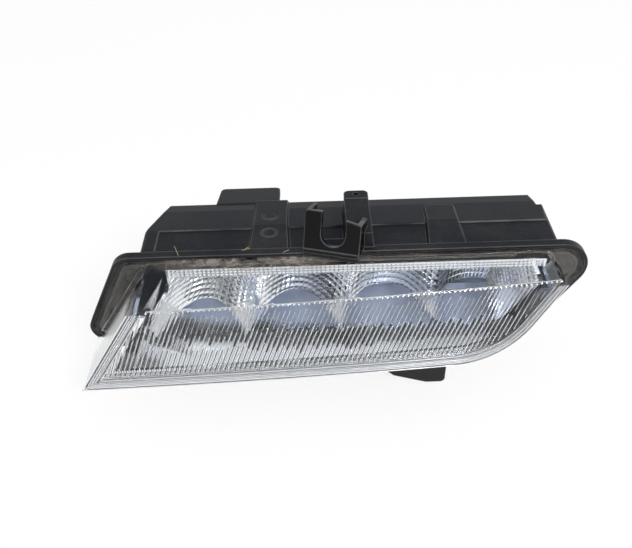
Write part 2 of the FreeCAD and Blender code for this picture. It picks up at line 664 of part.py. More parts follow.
def cup_section(z, grow, front, columns):
    left = CUP_LEFT_AT_TOP + CUP_LEFT_SLOPE * (z - CUP_LEVELS[0]) - grow
    right = body_right(z) - CUP_RIGHT_GAP + grow
    points = []
    for index in range(CUP_COUNT):
        low, high = cup_bounds(index, z, left, right)
        first = 0 if index == 0 else 1
        for column in range(first, columns + 1):
            x = low + (high - low) * column / columns
            across = x - cup_axis_x(index, z)
            rise = z - CUP_AXIS_Z
            y = cup_depth(index) + grow - (across ** 2 + rise ** 2) / (4 * CUP_FOCUS)
            points.append(Vector(x, max(y, front + 1.0), z))
    points.append(Vector(right, front, z))
    points.append(Vector(left, front, z))
    return Part.makePolygon(points + points[:1])


def cup_loft(grow, front, levels, columns):
    return Part.makeLoft([cup_section(z, grow, front, columns) for z in levels], True, True)


def floor_profile(thick, rear):
    front = -60.0
    low = FLOOR_Z + FLOOR_SLOPE * (front - FLOOR_BREAK)
    return [(rear, FLOOR_Z), (FLOOR_BREAK, FLOOR_Z), (front, low), (front, low - thick),
            (FLOOR_BREAK, FLOOR_Z - thick), (rear, FLOOR_Z - thick)]


def make_reflector():
    roof_low = REFLECTOR_ROOF_TOP - FOOT_THICK
    outer = cup_loft(SHELL_THICK, -20.0, CUP_LEVELS, CUP_COLUMNS)
    inner = cup_loft(0.0, -40.0, CUP_LEVELS, CUP_COLUMNS)
    shell = outer.cut(inner)
    floor_cut = profile_prism(floor_profile(60.0, 80.0), -160, 160)
    front_cut = box(-160, 160, -60.0, -12.0, -60.0, 0.0)
    root = FLANGE_Y - LIP_OUTER_HEIGHT
    room = prism(lens_wire(LENS_WALL + FLOOR_GAP + RIM_THICK + RIM_CLEAR, root + 1.0), Vector(0, -70.0, 0))
    beyond = box(-160, 160, -60.0, root, -80.0, RIM_TOP).cut(room)
    shell = shell.cut(fuse([floor_cut, front_cut])).cut(beyond)
    left = CUP_LEFT_AT_TOP - SHELL_THICK
    right = body_right(CUP_LEVELS[0]) - CUP_RIGHT_GAP + SHELL_THICK
    roof = box(left, right, REFLECTOR_FRONT, REFLECTOR_REAR, roof_low, REFLECTOR_ROOF_TOP)
    corner = box(BOARD_RIGHT + FLOOR_GAP, 160, BODY_DEPTH - NOTCH_DEPTH - BODY_WALL - FLOOR_GAP, 60, -60, 0)
    brow = box(left, right, REFLECTOR_FRONT, REFLECTOR_FRONT + BROW_THICK, roof_low, ROOF_INNER - BROW_GAP)
    parts = [shell, roof.cut(corner), brow]
    for x in REFLECTOR_SCREWS_X:
        parts.append(box(x - FOOT_WIDTH / 2, x + FOOT_WIDTH / 2, FLOOR_BREAK, FLOOR_REAR - 1.0,
                         FLOOR_Z, FLOOR_Z + FOOT_THICK))
    shape = fuse(parts).cut(cup_loft(0.0, -40.0, CUP_LEVELS, CUP_COLUMNS))
    windows = []
    half = LED_WINDOW / 2
    for index in range(CUP_COUNT):
        x = cup_axis_x(index, CUP_AXIS_Z)
        y = cup_depth(index) - CUP_FOCUS
        windows.append(box(x - half, x + half, y - half, y + half, roof_low - 1.0, REFLECTOR_ROOF_TOP + 1.0))
    for x in REFLECTOR_SCREWS_X:
        windows.append(cylinder(SCREW_SHANK + SCREW_FIT, Vector(x, REFLECTOR_SCREW_Y, FLOOR_Z - 1.0), Z_AXIS, 5.0))
    for x in BOARD_SCREWS_X:
        windows.append(cylinder(SCREW_SHANK + SCREW_FIT, Vector(x, BOARD_SCREW_Y, roof_low - 1.0), Z_AXIS, 5.0))
    return shape.cut(fuse(windows))


def make_bezel():
    plate = profile_prism(floor_profile(FLOOR_THICK, FLOOR_REAR), -160, 160)
    inset = LENS_WALL + FLOOR_GAP
    inside = prism(lens_wire(inset, FLANGE_Y - 0.5), Vector(0, -60.0, 0)).common(behind_front(inset + 0.6, False))
    body = body_solid(BODY_WALL + FLOOR_GAP, FLANGE_Y - 2.0, BODY_DEPTH - BODY_WALL - FLOOR_GAP)
    reach = Vector(0, -60.0, 0)
    root = FLANGE_Y - LIP_OUTER_HEIGHT
    below = box(-160, 160, -60, root, LENS_BOTTOM - 5.0, RIM_TOP)
    tray = prism(lens_wire(inset, root), reach).common(behind_front(inset, False)).common(below)
    skirt = tray.cut(prism(lens_wire(inset + RIM_THICK, root), reach))
    band = tray.cut(prism(lens_wire(inset + RIM_WIDTH, root), reach))
    band = band.cut(behind_front(inset + RIM_THICK, False))
    shape = fuse([plate.common(fuse([inside, body])), skirt, band])
    holes = [cylinder(SCREW_SHANK + SCREW_FIT, Vector(x, REFLECTOR_SCREW_Y, FLOOR_Z - 9.0), Z_AXIS, 20.0)
             for x in REFLECTOR_SCREWS_X]
    return shape.cut(fuse(holes))


# Light sources, boards, heat sink and wiring.
BOARD_BOTTOM = REFLECTOR_ROOF_TOP + STACK_GAP
BOARD_TOP = BOARD_BOTTOM + BOARD_THICK
PAD_STACK_TOP = BOARD_TOP + PAD_THICK
SINK_TOP = PAD_STACK_TOP + SINK_THICK


def screw_holes(z0, z1):
    return fuse([cylinder(SCREW_SHANK + SCREW_FIT, Vector(x, BOARD_SCREW_Y, z0), Z_AXIS, z1 - z0)
                 for x in BOARD_SCREWS_X])


def make_led(index):
    x = cup_axis_x(index, CUP_AXIS_Z)
    y = cup_depth(index) - CUP_FOCUS
    half = LED_SIZE / 2
    body = box(x - half, x + half, y - half, y + half, BOARD_BOTTOM - LED_BODY, BOARD_BOTTOM)
    ball = Part.makeSphere(LED_DOME, Vector(x, y, BOARD_BOTTOM - LED_BODY))
    return fuse([body, ball.common(box(x - 9, x + 9, y - 9, y + 9, -30, BOARD_BOTTOM - LED_BODY / 2))])


def make_led_board():
    board = box(BOARD_LEFT, BOARD_RIGHT, BOARD_FRONT, BOARD_REAR, BOARD_BOTTOM, BOARD_TOP)
    return board.cut(screw_holes(BOARD_BOTTOM - 1, BOARD_TOP + 1))


def make_thermal_pad():
    pad = box(BOARD_LEFT + 2, BOARD_RIGHT - 2, BOARD_FRONT + 2, BOARD_REAR, BOARD_TOP, PAD_STACK_TOP)
    return pad.cut(screw_holes(BOARD_TOP - 1, PAD_STACK_TOP + 1))


def make_heat_sink():
    top = box(BOARD_LEFT, BOARD_RIGHT, BOARD_FRONT + 2, SINK_WALL_Y + SINK_THICK, PAD_STACK_TOP, SINK_TOP)
    wall = box(BOARD_LEFT + 2, SINK_RIGHT_DROP, SINK_WALL_Y, SINK_WALL_Y + SINK_THICK, SINK_BOTTOM, SINK_TOP)
    fins = []
    for index in range(FIN_COUNT):
        x = FIN_FIRST_X + FIN_PITCH * index
        fins.append(box(x, x + FIN_THICK, SINK_WALL_Y + SINK_THICK - 0.2, SINK_WALL_Y + SINK_THICK + FIN_DEPTH,
                        SINK_BOTTOM, SINK_TOP - 2.0))
    holes = [screw_holes(PAD_STACK_TOP - 1, SINK_TOP + 1)]
    for x in DRIVER_SCREWS_X:
        holes.append(cylinder(SCREW_SHANK + SCREW_FIT, Vector(x, SINK_WALL_Y - 1, DRIVER_SCREW_Z), Y_AXIS, 3.0))
    return fuse([top, wall] + fins).cut(fuse(holes))


DRIVER_BACK = SINK_WALL_Y
DRIVER_FRONT = DRIVER_BACK - DRIVER_THICK
HEADER_LEFT = DRIVER_RIGHT - 9.0
HEADER_DEPTH = 6.0
HEADER_HALF = 3.0
HEADER_Z = DRIVER_BOTTOM + 4.2
JUMPER_X = (-34.0, -30.0)
JUMPER_Y = 31.0
JUMPER_Z = -18.0


def make_driver_board():
    board = box(DRIVER_LEFT, DRIVER_RIGHT, DRIVER_FRONT, DRIVER_BACK, DRIVER_BOTTOM, DRIVER_TOP)
    holes = [cylinder(SCREW_SHANK + SCREW_FIT, Vector(x, DRIVER_FRONT - 1, DRIVER_SCREW_Z), Y_AXIS, 5.0)
             for x in DRIVER_SCREWS_X]
    return board.cut(fuse(holes))


def make_chip():
    x = -27.0
    z = -23.0
    body = box(x - 3.0, x + 3.0, DRIVER_FRONT - 1.7, DRIVER_FRONT - 0.2, z - 2.5, z + 2.5)
    legs = []
    for index in range(4):
        along = x - 2.25 + 1.5 * index
        legs.append(box(along - 0.3, along + 0.3, DRIVER_FRONT - 0.9, DRIVER_FRONT, z - 3.4, z + 3.4))
    return fuse([body] + legs)


def make_choke():
    x = -41.0
    z = -21.6
    base = box(x - 4.5, x + 4.5, DRIVER_FRONT - 1.2, DRIVER_FRONT, z - 4.5, z + 4.5)
    core = cylinder(2.6, Vector(x, DRIVER_FRONT - 4.4, z), Y_AXIS, 4.0)
    winding = cylinder(3.7, Vector(x, DRIVER_FRONT - 4.0, z), Y_AXIS, 2.4)
    cap = cylinder(4.2, Vector(x, DRIVER_FRONT - 5.0, z), Y_AXIS, 1.0)
    return fuse([base, core, winding, cap])


def make_capacitors():
    cans = []
    for x in (-51.5, -18.0):
        z = -23.2
        base = box(x - 3.3, x + 3.3, DRIVER_FRONT - 1.0, DRIVER_FRONT, z - 3.3, z + 3.3)
        can = cylinder(3.1, Vector(x, DRIVER_FRONT - 6.0, z), Y_AXIS, 5.2)
        cans.append(fuse([base, can]))
    return Part.makeCompound(cans)


def lead(points):
    start, corner, end = points
    into = (corner - start).normalize()
    out = (end - corner).normalize()
    first = corner - into * LEAD_BEND
    last = corner + out * LEAD_BEND
    centre = first + out * LEAD_BEND
    axis = into.cross(out)
    ring = Part.Face(Part.Wire(Part.makeCircle(LEAD_RADIUS, first, into)))
    bend = ring.revolve(centre, axis, 90)
    run_in = cylinder(LEAD_RADIUS, start, into, (first - start).Length)
    run_out = cylinder(LEAD_RADIUS, last, out, (end - last).Length)
    return fuse([run_in, bend, run_out])


def supply_lead_y(index):
    return DRIVER_FRONT - HEADER_DEPTH / 2 + (1 - index) * 1.8


def make_supply_leads():
    leads = []
    for index in range(3):
        x = blade_x(index)
        y = supply_lead_y(index)
        start = Vector(x, BODY_DEPTH - BODY_WALL - BLADE_IN, SOCKET_Z)
        leads.append(lead((start, Vector(x, y, SOCKET_Z), Vector(DRIVER_RIGHT - 1.0, y, SOCKET_Z))))
    return Part.makeCompound(leads)


def make_header():
    body = box(HEADER_LEFT, DRIVER_RIGHT - 1.0, DRIVER_FRONT - HEADER_DEPTH, DRIVER_FRONT,
               SOCKET_Z - HEADER_HALF, SOCKET_Z + HEADER_HALF)
    rib = box(HEADER_LEFT + 2.0, HEADER_LEFT + 4.0, DRIVER_FRONT - HEADER_DEPTH - 0.8, DRIVER_FRONT,
              SOCKET_Z - HEADER_HALF + 0.8, SOCKET_Z + HEADER_HALF - 0.8)
    return fuse([body, rib])


def make_jumpers():
    leads = []
    for x in JUMPER_X:
        leads.append(lead((Vector(x, DRIVER_FRONT, JUMPER_Z), Vector(x, JUMPER_Y, JUMPER_Z),
                           Vector(x, JUMPER_Y, BOARD_BOTTOM))))
    return Part.makeCompound(leads)


def jumper_windows():
    return fuse([box(x - 1.4, x + 1.4, JUMPER_Y - 1.4, JUMPER_Y + 1.4, REFLECTOR_ROOF_TOP - 4.0,
                     REFLECTOR_ROOF_TOP + 1.0) for x in JUMPER_X])


def screw(head_at, axis, length):
    head = cylinder(SCREW_HEAD, head_at, axis, SCREW_HEAD_HEIGHT)
    recess = cylinder(1.5, head_at + axis * (SCREW_HEAD_HEIGHT - 1.0), axis, 2.0)
    shank = cylinder(SCREW_SHANK, head_at + axis * 0.2, axis * -1, length + 0.2)
    return fuse([head.cut(recess), shank])


def make_reflector_screws():
    top = FLOOR_Z + FOOT_THICK
    return Part.makeCompound([screw(Vector(x, REFLECTOR_SCREW_Y, top), Z_AXIS, REFLECTOR_SCREW_LENGTH)
                              for x in REFLECTOR_SCREWS_X])


def make_board_screws():
    under = REFLECTOR_ROOF_TOP - FOOT_THICK
    return Part.makeCompound([screw(Vector(x, BOARD_SCREW_Y, under), Z_AXIS * -1, SINK_TOP - under)
                              for x in BOARD_SCREWS_X])


def make_driver_screws():
    return Part.makeCompound([screw(Vector(x, DRIVER_FRONT, DRIVER_SCREW_Z), Y_AXIS * -1,
                                    DRIVER_THICK + SINK_THICK) for x in DRIVER_SCREWS_X])


def make_breather_cap():
    start = BODY_DEPTH + CAP_LIFT
    depth = BREATHER_LENGTH + FILTER_THICK - CAP_LIFT
    cap = cylinder(CAP_RADIUS, Vector(BREATHER_X, start, BREATHER_Z), Y_AXIS, depth + CAP_WALL)
    room = cylinder(CAP_RADIUS - CAP_WALL, Vector(BREATHER_X, start - 1, BREATHER_Z), Y_AXIS, depth + 1)
    shape = cap.cut(room)
    grips = []
    for index in range(3):
        angle = math.radians(120 * index + 90)
        grip = box(BREATHER_RADIUS, CAP_RADIUS - CAP_WALL / 2, start + 0.6, BODY_DEPTH + BREATHER_LENGTH,
                   BREATHER_Z - 0.6, BREATHER_Z + 0.6)
        grip.translate(Vector(BREATHER_X, 0, 0))
        grip.rotate(Vector(BREATHER_X, 0, BREATHER_Z), Y_AXIS, math.degrees(angle))
        grips.append(grip)
    return fuse([shape] + grips)


def make_breather_filter():
    return cylinder(BREATHER_RADIUS, Vector(BREATHER_X, BODY_DEPTH + BREATHER_LENGTH, BREATHER_Z), Y_AXIS,
                    FILTER_THICK)


def export(name, shape):
    moved = shape.copy()
    moved.translate(SLOT_CENTRE * -1)
    moved.exportStep("parts/" + name + ".step")
    print(name, "solids", len(moved.Solids), "valid", moved.isValid(), "volume", round(moved.Volume))


os.makedirs("parts", exist_ok=True)
export("lens_cover", make_lens())
export("lens_sealant", make_sealant())
export("reflector", make_reflector().cut(jumper_windows()))
export("lower_bezel", make_bezel())
export("led_board", make_led_board())
for cup in range(CUP_COUNT):
    export("led_" + str(cup + 1), make_led(cup))
export("thermal_pad", make_thermal_pad())
export("heat_sink", make_heat_sink())
export("driver_board", make_driver_board())
export("driver_chip", make_chip())
export("choke_coil", make_choke())
export("capacitors", make_capacitors())
export("wire_header", make_header())
export("supply_leads", make_supply_leads())
export("jumper_leads", make_jumpers())
export("plug_terminals", make_blades())
export("reflector_screws", make_reflector_screws())
export("board_screws", make_board_screws())
export("driver_screws", make_driver_screws())
export("breather_cap", make_breather_cap())
export("breather_filter", make_breather_filter())
export("rear_housing", make_housing())
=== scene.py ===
import bpy
import bmesh
import math
import random
from mathutils import Matrix, Vector


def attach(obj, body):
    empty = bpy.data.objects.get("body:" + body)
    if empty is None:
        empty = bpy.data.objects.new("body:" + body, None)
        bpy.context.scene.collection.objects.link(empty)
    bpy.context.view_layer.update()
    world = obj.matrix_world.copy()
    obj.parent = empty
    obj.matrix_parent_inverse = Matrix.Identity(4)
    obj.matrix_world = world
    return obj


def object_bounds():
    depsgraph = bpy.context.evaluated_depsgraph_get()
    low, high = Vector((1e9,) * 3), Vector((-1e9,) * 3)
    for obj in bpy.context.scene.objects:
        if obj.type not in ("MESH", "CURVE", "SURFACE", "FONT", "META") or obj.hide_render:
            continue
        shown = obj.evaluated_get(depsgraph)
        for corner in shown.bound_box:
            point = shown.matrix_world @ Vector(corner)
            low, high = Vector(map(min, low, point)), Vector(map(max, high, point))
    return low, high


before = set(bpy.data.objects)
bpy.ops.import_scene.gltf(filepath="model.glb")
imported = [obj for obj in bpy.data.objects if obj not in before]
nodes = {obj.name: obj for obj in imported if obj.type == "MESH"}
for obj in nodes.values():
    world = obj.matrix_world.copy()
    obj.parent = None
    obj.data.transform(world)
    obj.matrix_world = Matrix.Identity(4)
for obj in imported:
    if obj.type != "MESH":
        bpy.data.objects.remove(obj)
cadLow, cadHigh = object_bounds()
print("frame loaded:", len(nodes), "nodes")

# flange top centre in the row frame, metres
flangeAt = Vector((0.0030, 0.0016, -0.0102))
mm = 0.001


def at(x, y, z):  # millimetres from the flange's top centre
    return Vector((x / 1000, y / 1000, z / 1000)) + flangeAt


class Val:  # one socket, with arithmetic
    def __init__(self, tree, socket):
        self.tree = tree
        self.socket = socket

    def math(self, operation, other, swap=False):
        node = self.tree.nodes.new("ShaderNodeMath")
        node.operation = operation
        pair = (other, self) if swap else (self, other)
        for index, item in enumerate(pair):
            plug(self.tree, node.inputs[index], item)
        return Val(self.tree, node.outputs[0])

    def __add__(self, other):
        return self.math("ADD", other)

    def __radd__(self, other):
        return self.math("ADD", other, True)

    def __sub__(self, other):
        return self.math("SUBTRACT", other)

    def __rsub__(self, other):
        return self.math("SUBTRACT", other, True)

    def __mul__(self, other):
        return self.math("MULTIPLY", other)

    def __rmul__(self, other):
        return self.math("MULTIPLY", other, True)

    def __truediv__(self, other):
        return self.math("DIVIDE", other)


def plug(tree, socket, value):
    if isinstance(value, Val):
        tree.links.new(value.socket, socket)
        return
    if hasattr(socket.default_value, "__len__") and len(socket.default_value) == 4 and len(value) == 3:
        value = tuple(value) + (1.0,)
    socket.default_value = value


class Finish:  # a node tree under construction
    def __init__(self, tree):
        self.tree = tree
        tree.nodes.clear()

    def node(self, kind, settings=None, values=None, output=0):
        made = self.tree.nodes.new(kind)
        for name, setting in (settings or {}).items():
            setattr(made, name, setting)
        for name, value in (values or {}).items():
            plug(self.tree, made.inputs[name], value)
        return Val(self.tree, made.outputs[output]) if made.outputs else None

    def place(self, scale=(1, 1, 1), turn=(0, 0, 0)):
        coords = self.node("ShaderNodeTexCoord", output="Object")
        return self.node("ShaderNodeMapping", {}, {"Vector": coords, "Scale": scale, "Rotation": turn})

    def axes(self, vector):
        first = self.node("ShaderNodeSeparateXYZ", {}, {"Vector": vector})
        return [Val(self.tree, output) for output in first.socket.node.outputs]

    def noise(self, where, scale, detail, rough=0.55):
        values = {"Vector": where, "Scale": scale, "Detail": detail, "Roughness": rough}
        return self.node("ShaderNodeTexNoise", {}, values)

    def step(self, value, low, high):
        values = {"Value": value, "From Min": low, "From Max": high}
        return self.node("ShaderNodeMapRange", {"clamp": True}, values)

    def blend(self, factor, first, second):
        return self.node("ShaderNodeMix", {"data_type": "RGBA"}, {0: factor, 6: first, 7: second}, 2)

    def bump(self, height, strength, distance):
        return self.node("ShaderNodeBump", {}, {"Strength": strength, "Distance": distance, "Height": height})

    def body(self, values):
        return self.node("ShaderNodeBsdfPrincipled", {}, values)

    def layer(self, factor, under, over):
        return self.node("ShaderNodeMixShader", {}, {0: factor, 1: under, 2: over})

    def surface(self, shader):
        self.node("ShaderNodeOutputMaterial", {}, {"Surface": shader})


def newFinish(name):
    material = bpy.data.materials.new(name)
    material.use_nodes = True
    return material, Finish(material.node_tree)


def dress(piece, material):
    piece.data.materials.clear()
    piece.data.materials.append(material)


# black moulded plastic: fine grain, edges painted pale as a patchy painted highlight, settled dust
# here and below, a pair is where a mask starts and where it is full
blackSettings = {
    "dark": (0.0085, 0.0088, 0.0098), "worn": (0.0135, 0.0138, 0.0150), "edge": (0.15, 0.152, 0.157),
    "dust": (0.070, 0.067, 0.063), "patchScale": 38.0, "grainScale": 2600.0, "speckScale": 900.0,
    "streakStretch": (30, 420, 60), "streakTurn": (0.0, 0.0, 0.4), "streakShare": 0.35, "wornAt": (0.5, 0.9),
    "edgeWidth": 0.0009, "edgeSamples": 6, "edgeAt": (0.99, 0.86), "edgePatch": (0.3, 0.55), "edgeHighlightShare": 0.8,
    "dustUp": (0.3, 0.95), "dustPatch": 0.7, "dustSpeck": 0.5, "dustAt": (0.55, 0.86),
    "patchRough": 0.16, "dustRough": 0.35, "edgeRough": 0.08, "grainStrength": 0.2, "grainDepth": 0.00006,
    "ior": 1.45, "specular": 0.24}

# the bracket above the flange is cleaner and smoother, and its colour is painted darker as a painted dark
# reflection
bracketSettings = {"front": (0.007, 0.006), "above": (-0.0095, -0.0085), "left": (-0.015, -0.014),
                   "right": (0.0145, 0.0135), "colour": (0.001, 0.001, 0.0015), "darkReflectionShare": 0.95, "polish": 0.20}


def blackPlastic(name, shine, dustAmount):
    t = blackSettings
    b = bracketSettings
    material, f = newFinish(name)
    where = f.place()
    x, y, z = f.axes(where)
    patches = f.noise(where, t["patchScale"], 4.0)
    grain = f.noise(where, t["grainScale"], 2.0)
    specks = f.noise(where, t["speckScale"], 1.0)
    streaks = f.noise(f.place(t["streakStretch"], t["streakTurn"]), 1.0, 3.0)
    flat = f.node("ShaderNodeNewGeometry", output="Normal")
    rounded = f.node("ShaderNodeBevel", {"samples": t["edgeSamples"]}, {"Radius": t["edgeWidth"]})
    agree = f.node("ShaderNodeVectorMath", {"operation": "DOT_PRODUCT"}, {0: flat, 1: rounded}, "Value")
    edge = f.step(agree, *t["edgeAt"]) * f.step(patches, *t["edgePatch"])
    bracket = f.step(y, *b["front"]) * f.step(z, *b["above"]) * f.step(x, *b["left"]) * f.step(x, *b["right"])
    settled = f.step(patches * t["dustPatch"] + specks * t["dustSpeck"], *t["dustAt"])
    dust = f.step(f.axes(flat)[2], *t["dustUp"]) * settled * dustAmount * (1 - bracket)
    colour = f.blend(f.step(patches + streaks * t["streakShare"], *t["wornAt"]), t["dark"], t["worn"])
    # the bracket's colour painted near black: a painted dark reflection
    colour = f.blend(bracket * b["darkReflectionShare"], colour, b["colour"])
    colour = f.blend(dust, colour, t["dust"])
    # edges painted pale: a painted highlight, patchy, with the roughness lowered there too
    colour = f.blend(edge * t["edgeHighlightShare"], colour, t["edge"])
    rough = shine + patches * t["patchRough"] + dust * t["dustRough"] - edge * t["edgeRough"]
    rough = rough - bracket * b["polish"]
    skin = f.node("ShaderNodeBump", {}, {"Strength": t["grainStrength"], "Distance": t["grainDepth"],
                                         "Height": grain, "Normal": rounded})
    f.surface(f.body({"Base Color": colour, "Roughness": rough, "Normal": skin, "IOR": t["ior"],
                      "Specular IOR Level": t["specular"]}))
    return material


# clear polycarbonate: bends light only a little, glossy skin, dirt along the foot, side walls partly covered
# by a pale layer as a painted reflection
lensSettings = {
    "tint": (0.975, 0.985, 0.99), "ior": 1.22, "haze": 0.012, "coat": 0.25, "coatRough": 0.02,
    "smearScale": 55.0, "smearAt": (0.55, 0.8), "smearRough": 0.03,
    "grime": (0.34, 0.31, 0.275), "grimeRough": 0.75, "speckScale": 1500.0, "speckAt": (0.72, 0.8),
    "speckSmear": (0.45, 0.7), "speckShare": 0.35, "foot": (-0.0035, 0.001), "footShare": 0.78,
    "cakedRight": (0.004, -0.018), "cakedLeft": (-0.078, -0.060), "cakedLeast": 0.2,
    "spotScale": 420.0, "spotPart": 0.6, "spotSmear": 0.5, "spotAt": (0.44, 0.66),
    "wall": (0.90, 0.905, 0.91), "wallRough": 0.25, "wallReflectionShare": 0.62, "wallTurn": (0.8, 0.45),
    "wallAhead": (-0.008, -0.016), "wallBelow": (-0.019, -0.023)}


def clearLens(name):
    t = lensSettings
    material, f = newFinish(name)
    where = f.place()
    x, y, z = f.axes(where)
    smear = f.noise(where, t["smearScale"], 4.0)
    specks = f.noise(where, t["speckScale"], 1.0)
    spots = f.noise(where, t["spotScale"], 3.0)
    rough = t["haze"] + f.step(smear, *t["smearAt"]) * t["smearRough"]
    sprinkled = f.step(specks, *t["speckAt"]) * f.step(smear, *t["speckSmear"]) * t["speckShare"]
    thick = f.step(x, *t["cakedRight"]) * f.step(x, *t["cakedLeft"])  # left of the bracket
    caked = f.step(y, *t["foot"]) * (t["cakedLeast"] + (1 - t["cakedLeast"]) * thick)
    caked = caked * f.step(spots * t["spotPart"] + smear * t["spotSmear"], *t["spotAt"]) * t["footShare"]
    clear = f.body({"Base Color": t["tint"], "Roughness": rough, "IOR": t["ior"], "Transmission Weight": 1.0,
                    "Coat Weight": t["coat"], "Coat Roughness": t["coatRough"]})
    film = f.body({"Base Color": t["grime"], "Roughness": t["grimeRough"]})
    worn = f.layer(sprinkled + caked, clear, film)
    # a pale layer over the side walls ahead and below: a painted reflection of the white surroundings
    facing = f.axes(f.node("ShaderNodeNewGeometry", output="Normal"))[1].math("ABSOLUTE", 0.0)
    side = f.step(facing, *t["wallTurn"]) * f.step(y, *t["wallAhead"]) * f.step(z, *t["wallBelow"])
    paintedWallReflection = f.body({"Base Color": t["wall"], "Roughness": t["wallRough"]})
    f.surface(f.layer(side * t["wallReflectionShare"], worn, paintedWallReflection))
    return material


# mirror film on the cups
filmSettings = {"bright": (0.96, 0.963, 0.97), "dull": (0.84, 0.86, 0.89), "cloudScale": 70.0,
                "dullAt": (0.45, 0.75), "cloudAt": (0.4, 0.8), "cloudRough": 0.05,
                "tipAhead": (0.0050, 0.0020), "tipBelow": (-0.0355, -0.0395)}


def brightFilm(name, rough, paintedWhiteTips=False):
    t = filmSettings
    material, f = newFinish(name)
    where = f.place()
    cloud = f.noise(where, t["cloudScale"], 3.0)
    colour = f.blend(f.step(cloud, *t["dullAt"]), t["bright"], t["dull"])
    shine = rough + f.step(cloud, *t["cloudAt"]) * t["cloudRough"]
    metal = 1.0
    if paintedWhiteTips:  # the low forward tips of the ridges are made matt white, a painted bright reflection on the film
        x, y, z = f.axes(where)
        metal = 1 - f.step(y, *t["tipAhead"]) * f.step(z, *t["tipBelow"])
    f.surface(f.body({"Base Color": colour, "Metallic": metal, "Roughness": shine}))
    return material


# the floor below the cups, bands painted into its chrome: a rougher blue-tinted back as a painted sky
# reflection, then dark as a painted dark reflection, then a pale strip towards the lens as a painted bright
# reflection
floorSettings = {
    "paintedSky": (0.60, 0.67, 0.83), "paintedSkyDeep": (0.45, 0.52, 0.71), "paintedSkyAt": (0.4, 0.75),
    "front": (0.17, 0.17, 0.18), "strip": (0.84, 0.84, 0.85), "fineScale": 700.0, "broadScale": 16.0,
    "slant": 0.07, "backCloud": 0.004, "backAt": (-0.006, -0.001), "stripBroad": 0.016,
    "stripAt": (-0.0060, -0.0100), "endSlant": 0.4, "endAt": (-0.066, -0.088), "rimBelow": (-0.0475, -0.0505),
    "shine": 0.08, "backRough": 0.24, "fineStrength": 0.08, "fineDepth": 0.0001}


def floorFilm(name):
    t = floorSettings
    film = filmSettings
    material, f = newFinish(name)
    where = f.place()
    x, y, z = f.axes(where)
    cloud = f.noise(where, film["cloudScale"], 3.0)
    fine = f.noise(where, t["fineScale"], 2.0)
    broad = f.noise(where, t["broadScale"], 2.0)
    inward = y + x * t["slant"]
    back = f.step(inward + cloud * t["backCloud"], *t["backAt"])
    near = f.step(inward + broad * t["stripBroad"], *t["stripAt"])
    paintedSky = f.blend(f.step(cloud, *t["paintedSkyAt"]), t["paintedSky"], t["paintedSkyDeep"])
    # painted reflections in the chrome's colour: sky at the back, dark, then the pale strip in front
    colour = f.blend(back, f.blend(near, t["front"], t["strip"]), paintedSky)
    leftTip = f.step(x + y * t["endSlant"], *t["endAt"])
    upturned = f.step(z, *t["rimBelow"])  # the rim stays bright, as does the left tip
    colour = f.blend(leftTip.math("MAXIMUM", upturned), colour, film["bright"])
    shine = t["shine"] + back * t["backRough"] + f.step(cloud, *film["cloudAt"]) * film["cloudRough"]
    f.surface(f.body({"Base Color": colour, "Metallic": 1.0, "Roughness": shine,
                      "Normal": f.bump(fine, t["fineStrength"], t["fineDepth"])}))
    return material


# plain workshop finishes for what sits inside and behind
plainSettings = {"cloudAt": (0.35, 0.7), "cloudRough": 0.15, "finer": 14.0, "grainStrength": 0.15,
                 "grainDepth": 0.00005}


def plainFinish(name, first, second, metal, rough, scale):
    t = plainSettings
    material, f = newFinish(name)
    where = f.place()
    cloud = f.noise(where, scale, 4.0)
    grain = f.noise(where, scale * t["finer"], 2.0)
    colour = f.blend(f.step(cloud, *t["cloudAt"]), first, second)
    f.surface(f.body({"Base Color": colour, "Metallic": metal, "Roughness": rough + cloud * t["cloudRough"],
                      "Normal": f.bump(grain, t["grainStrength"], t["grainDepth"])}))
    return material


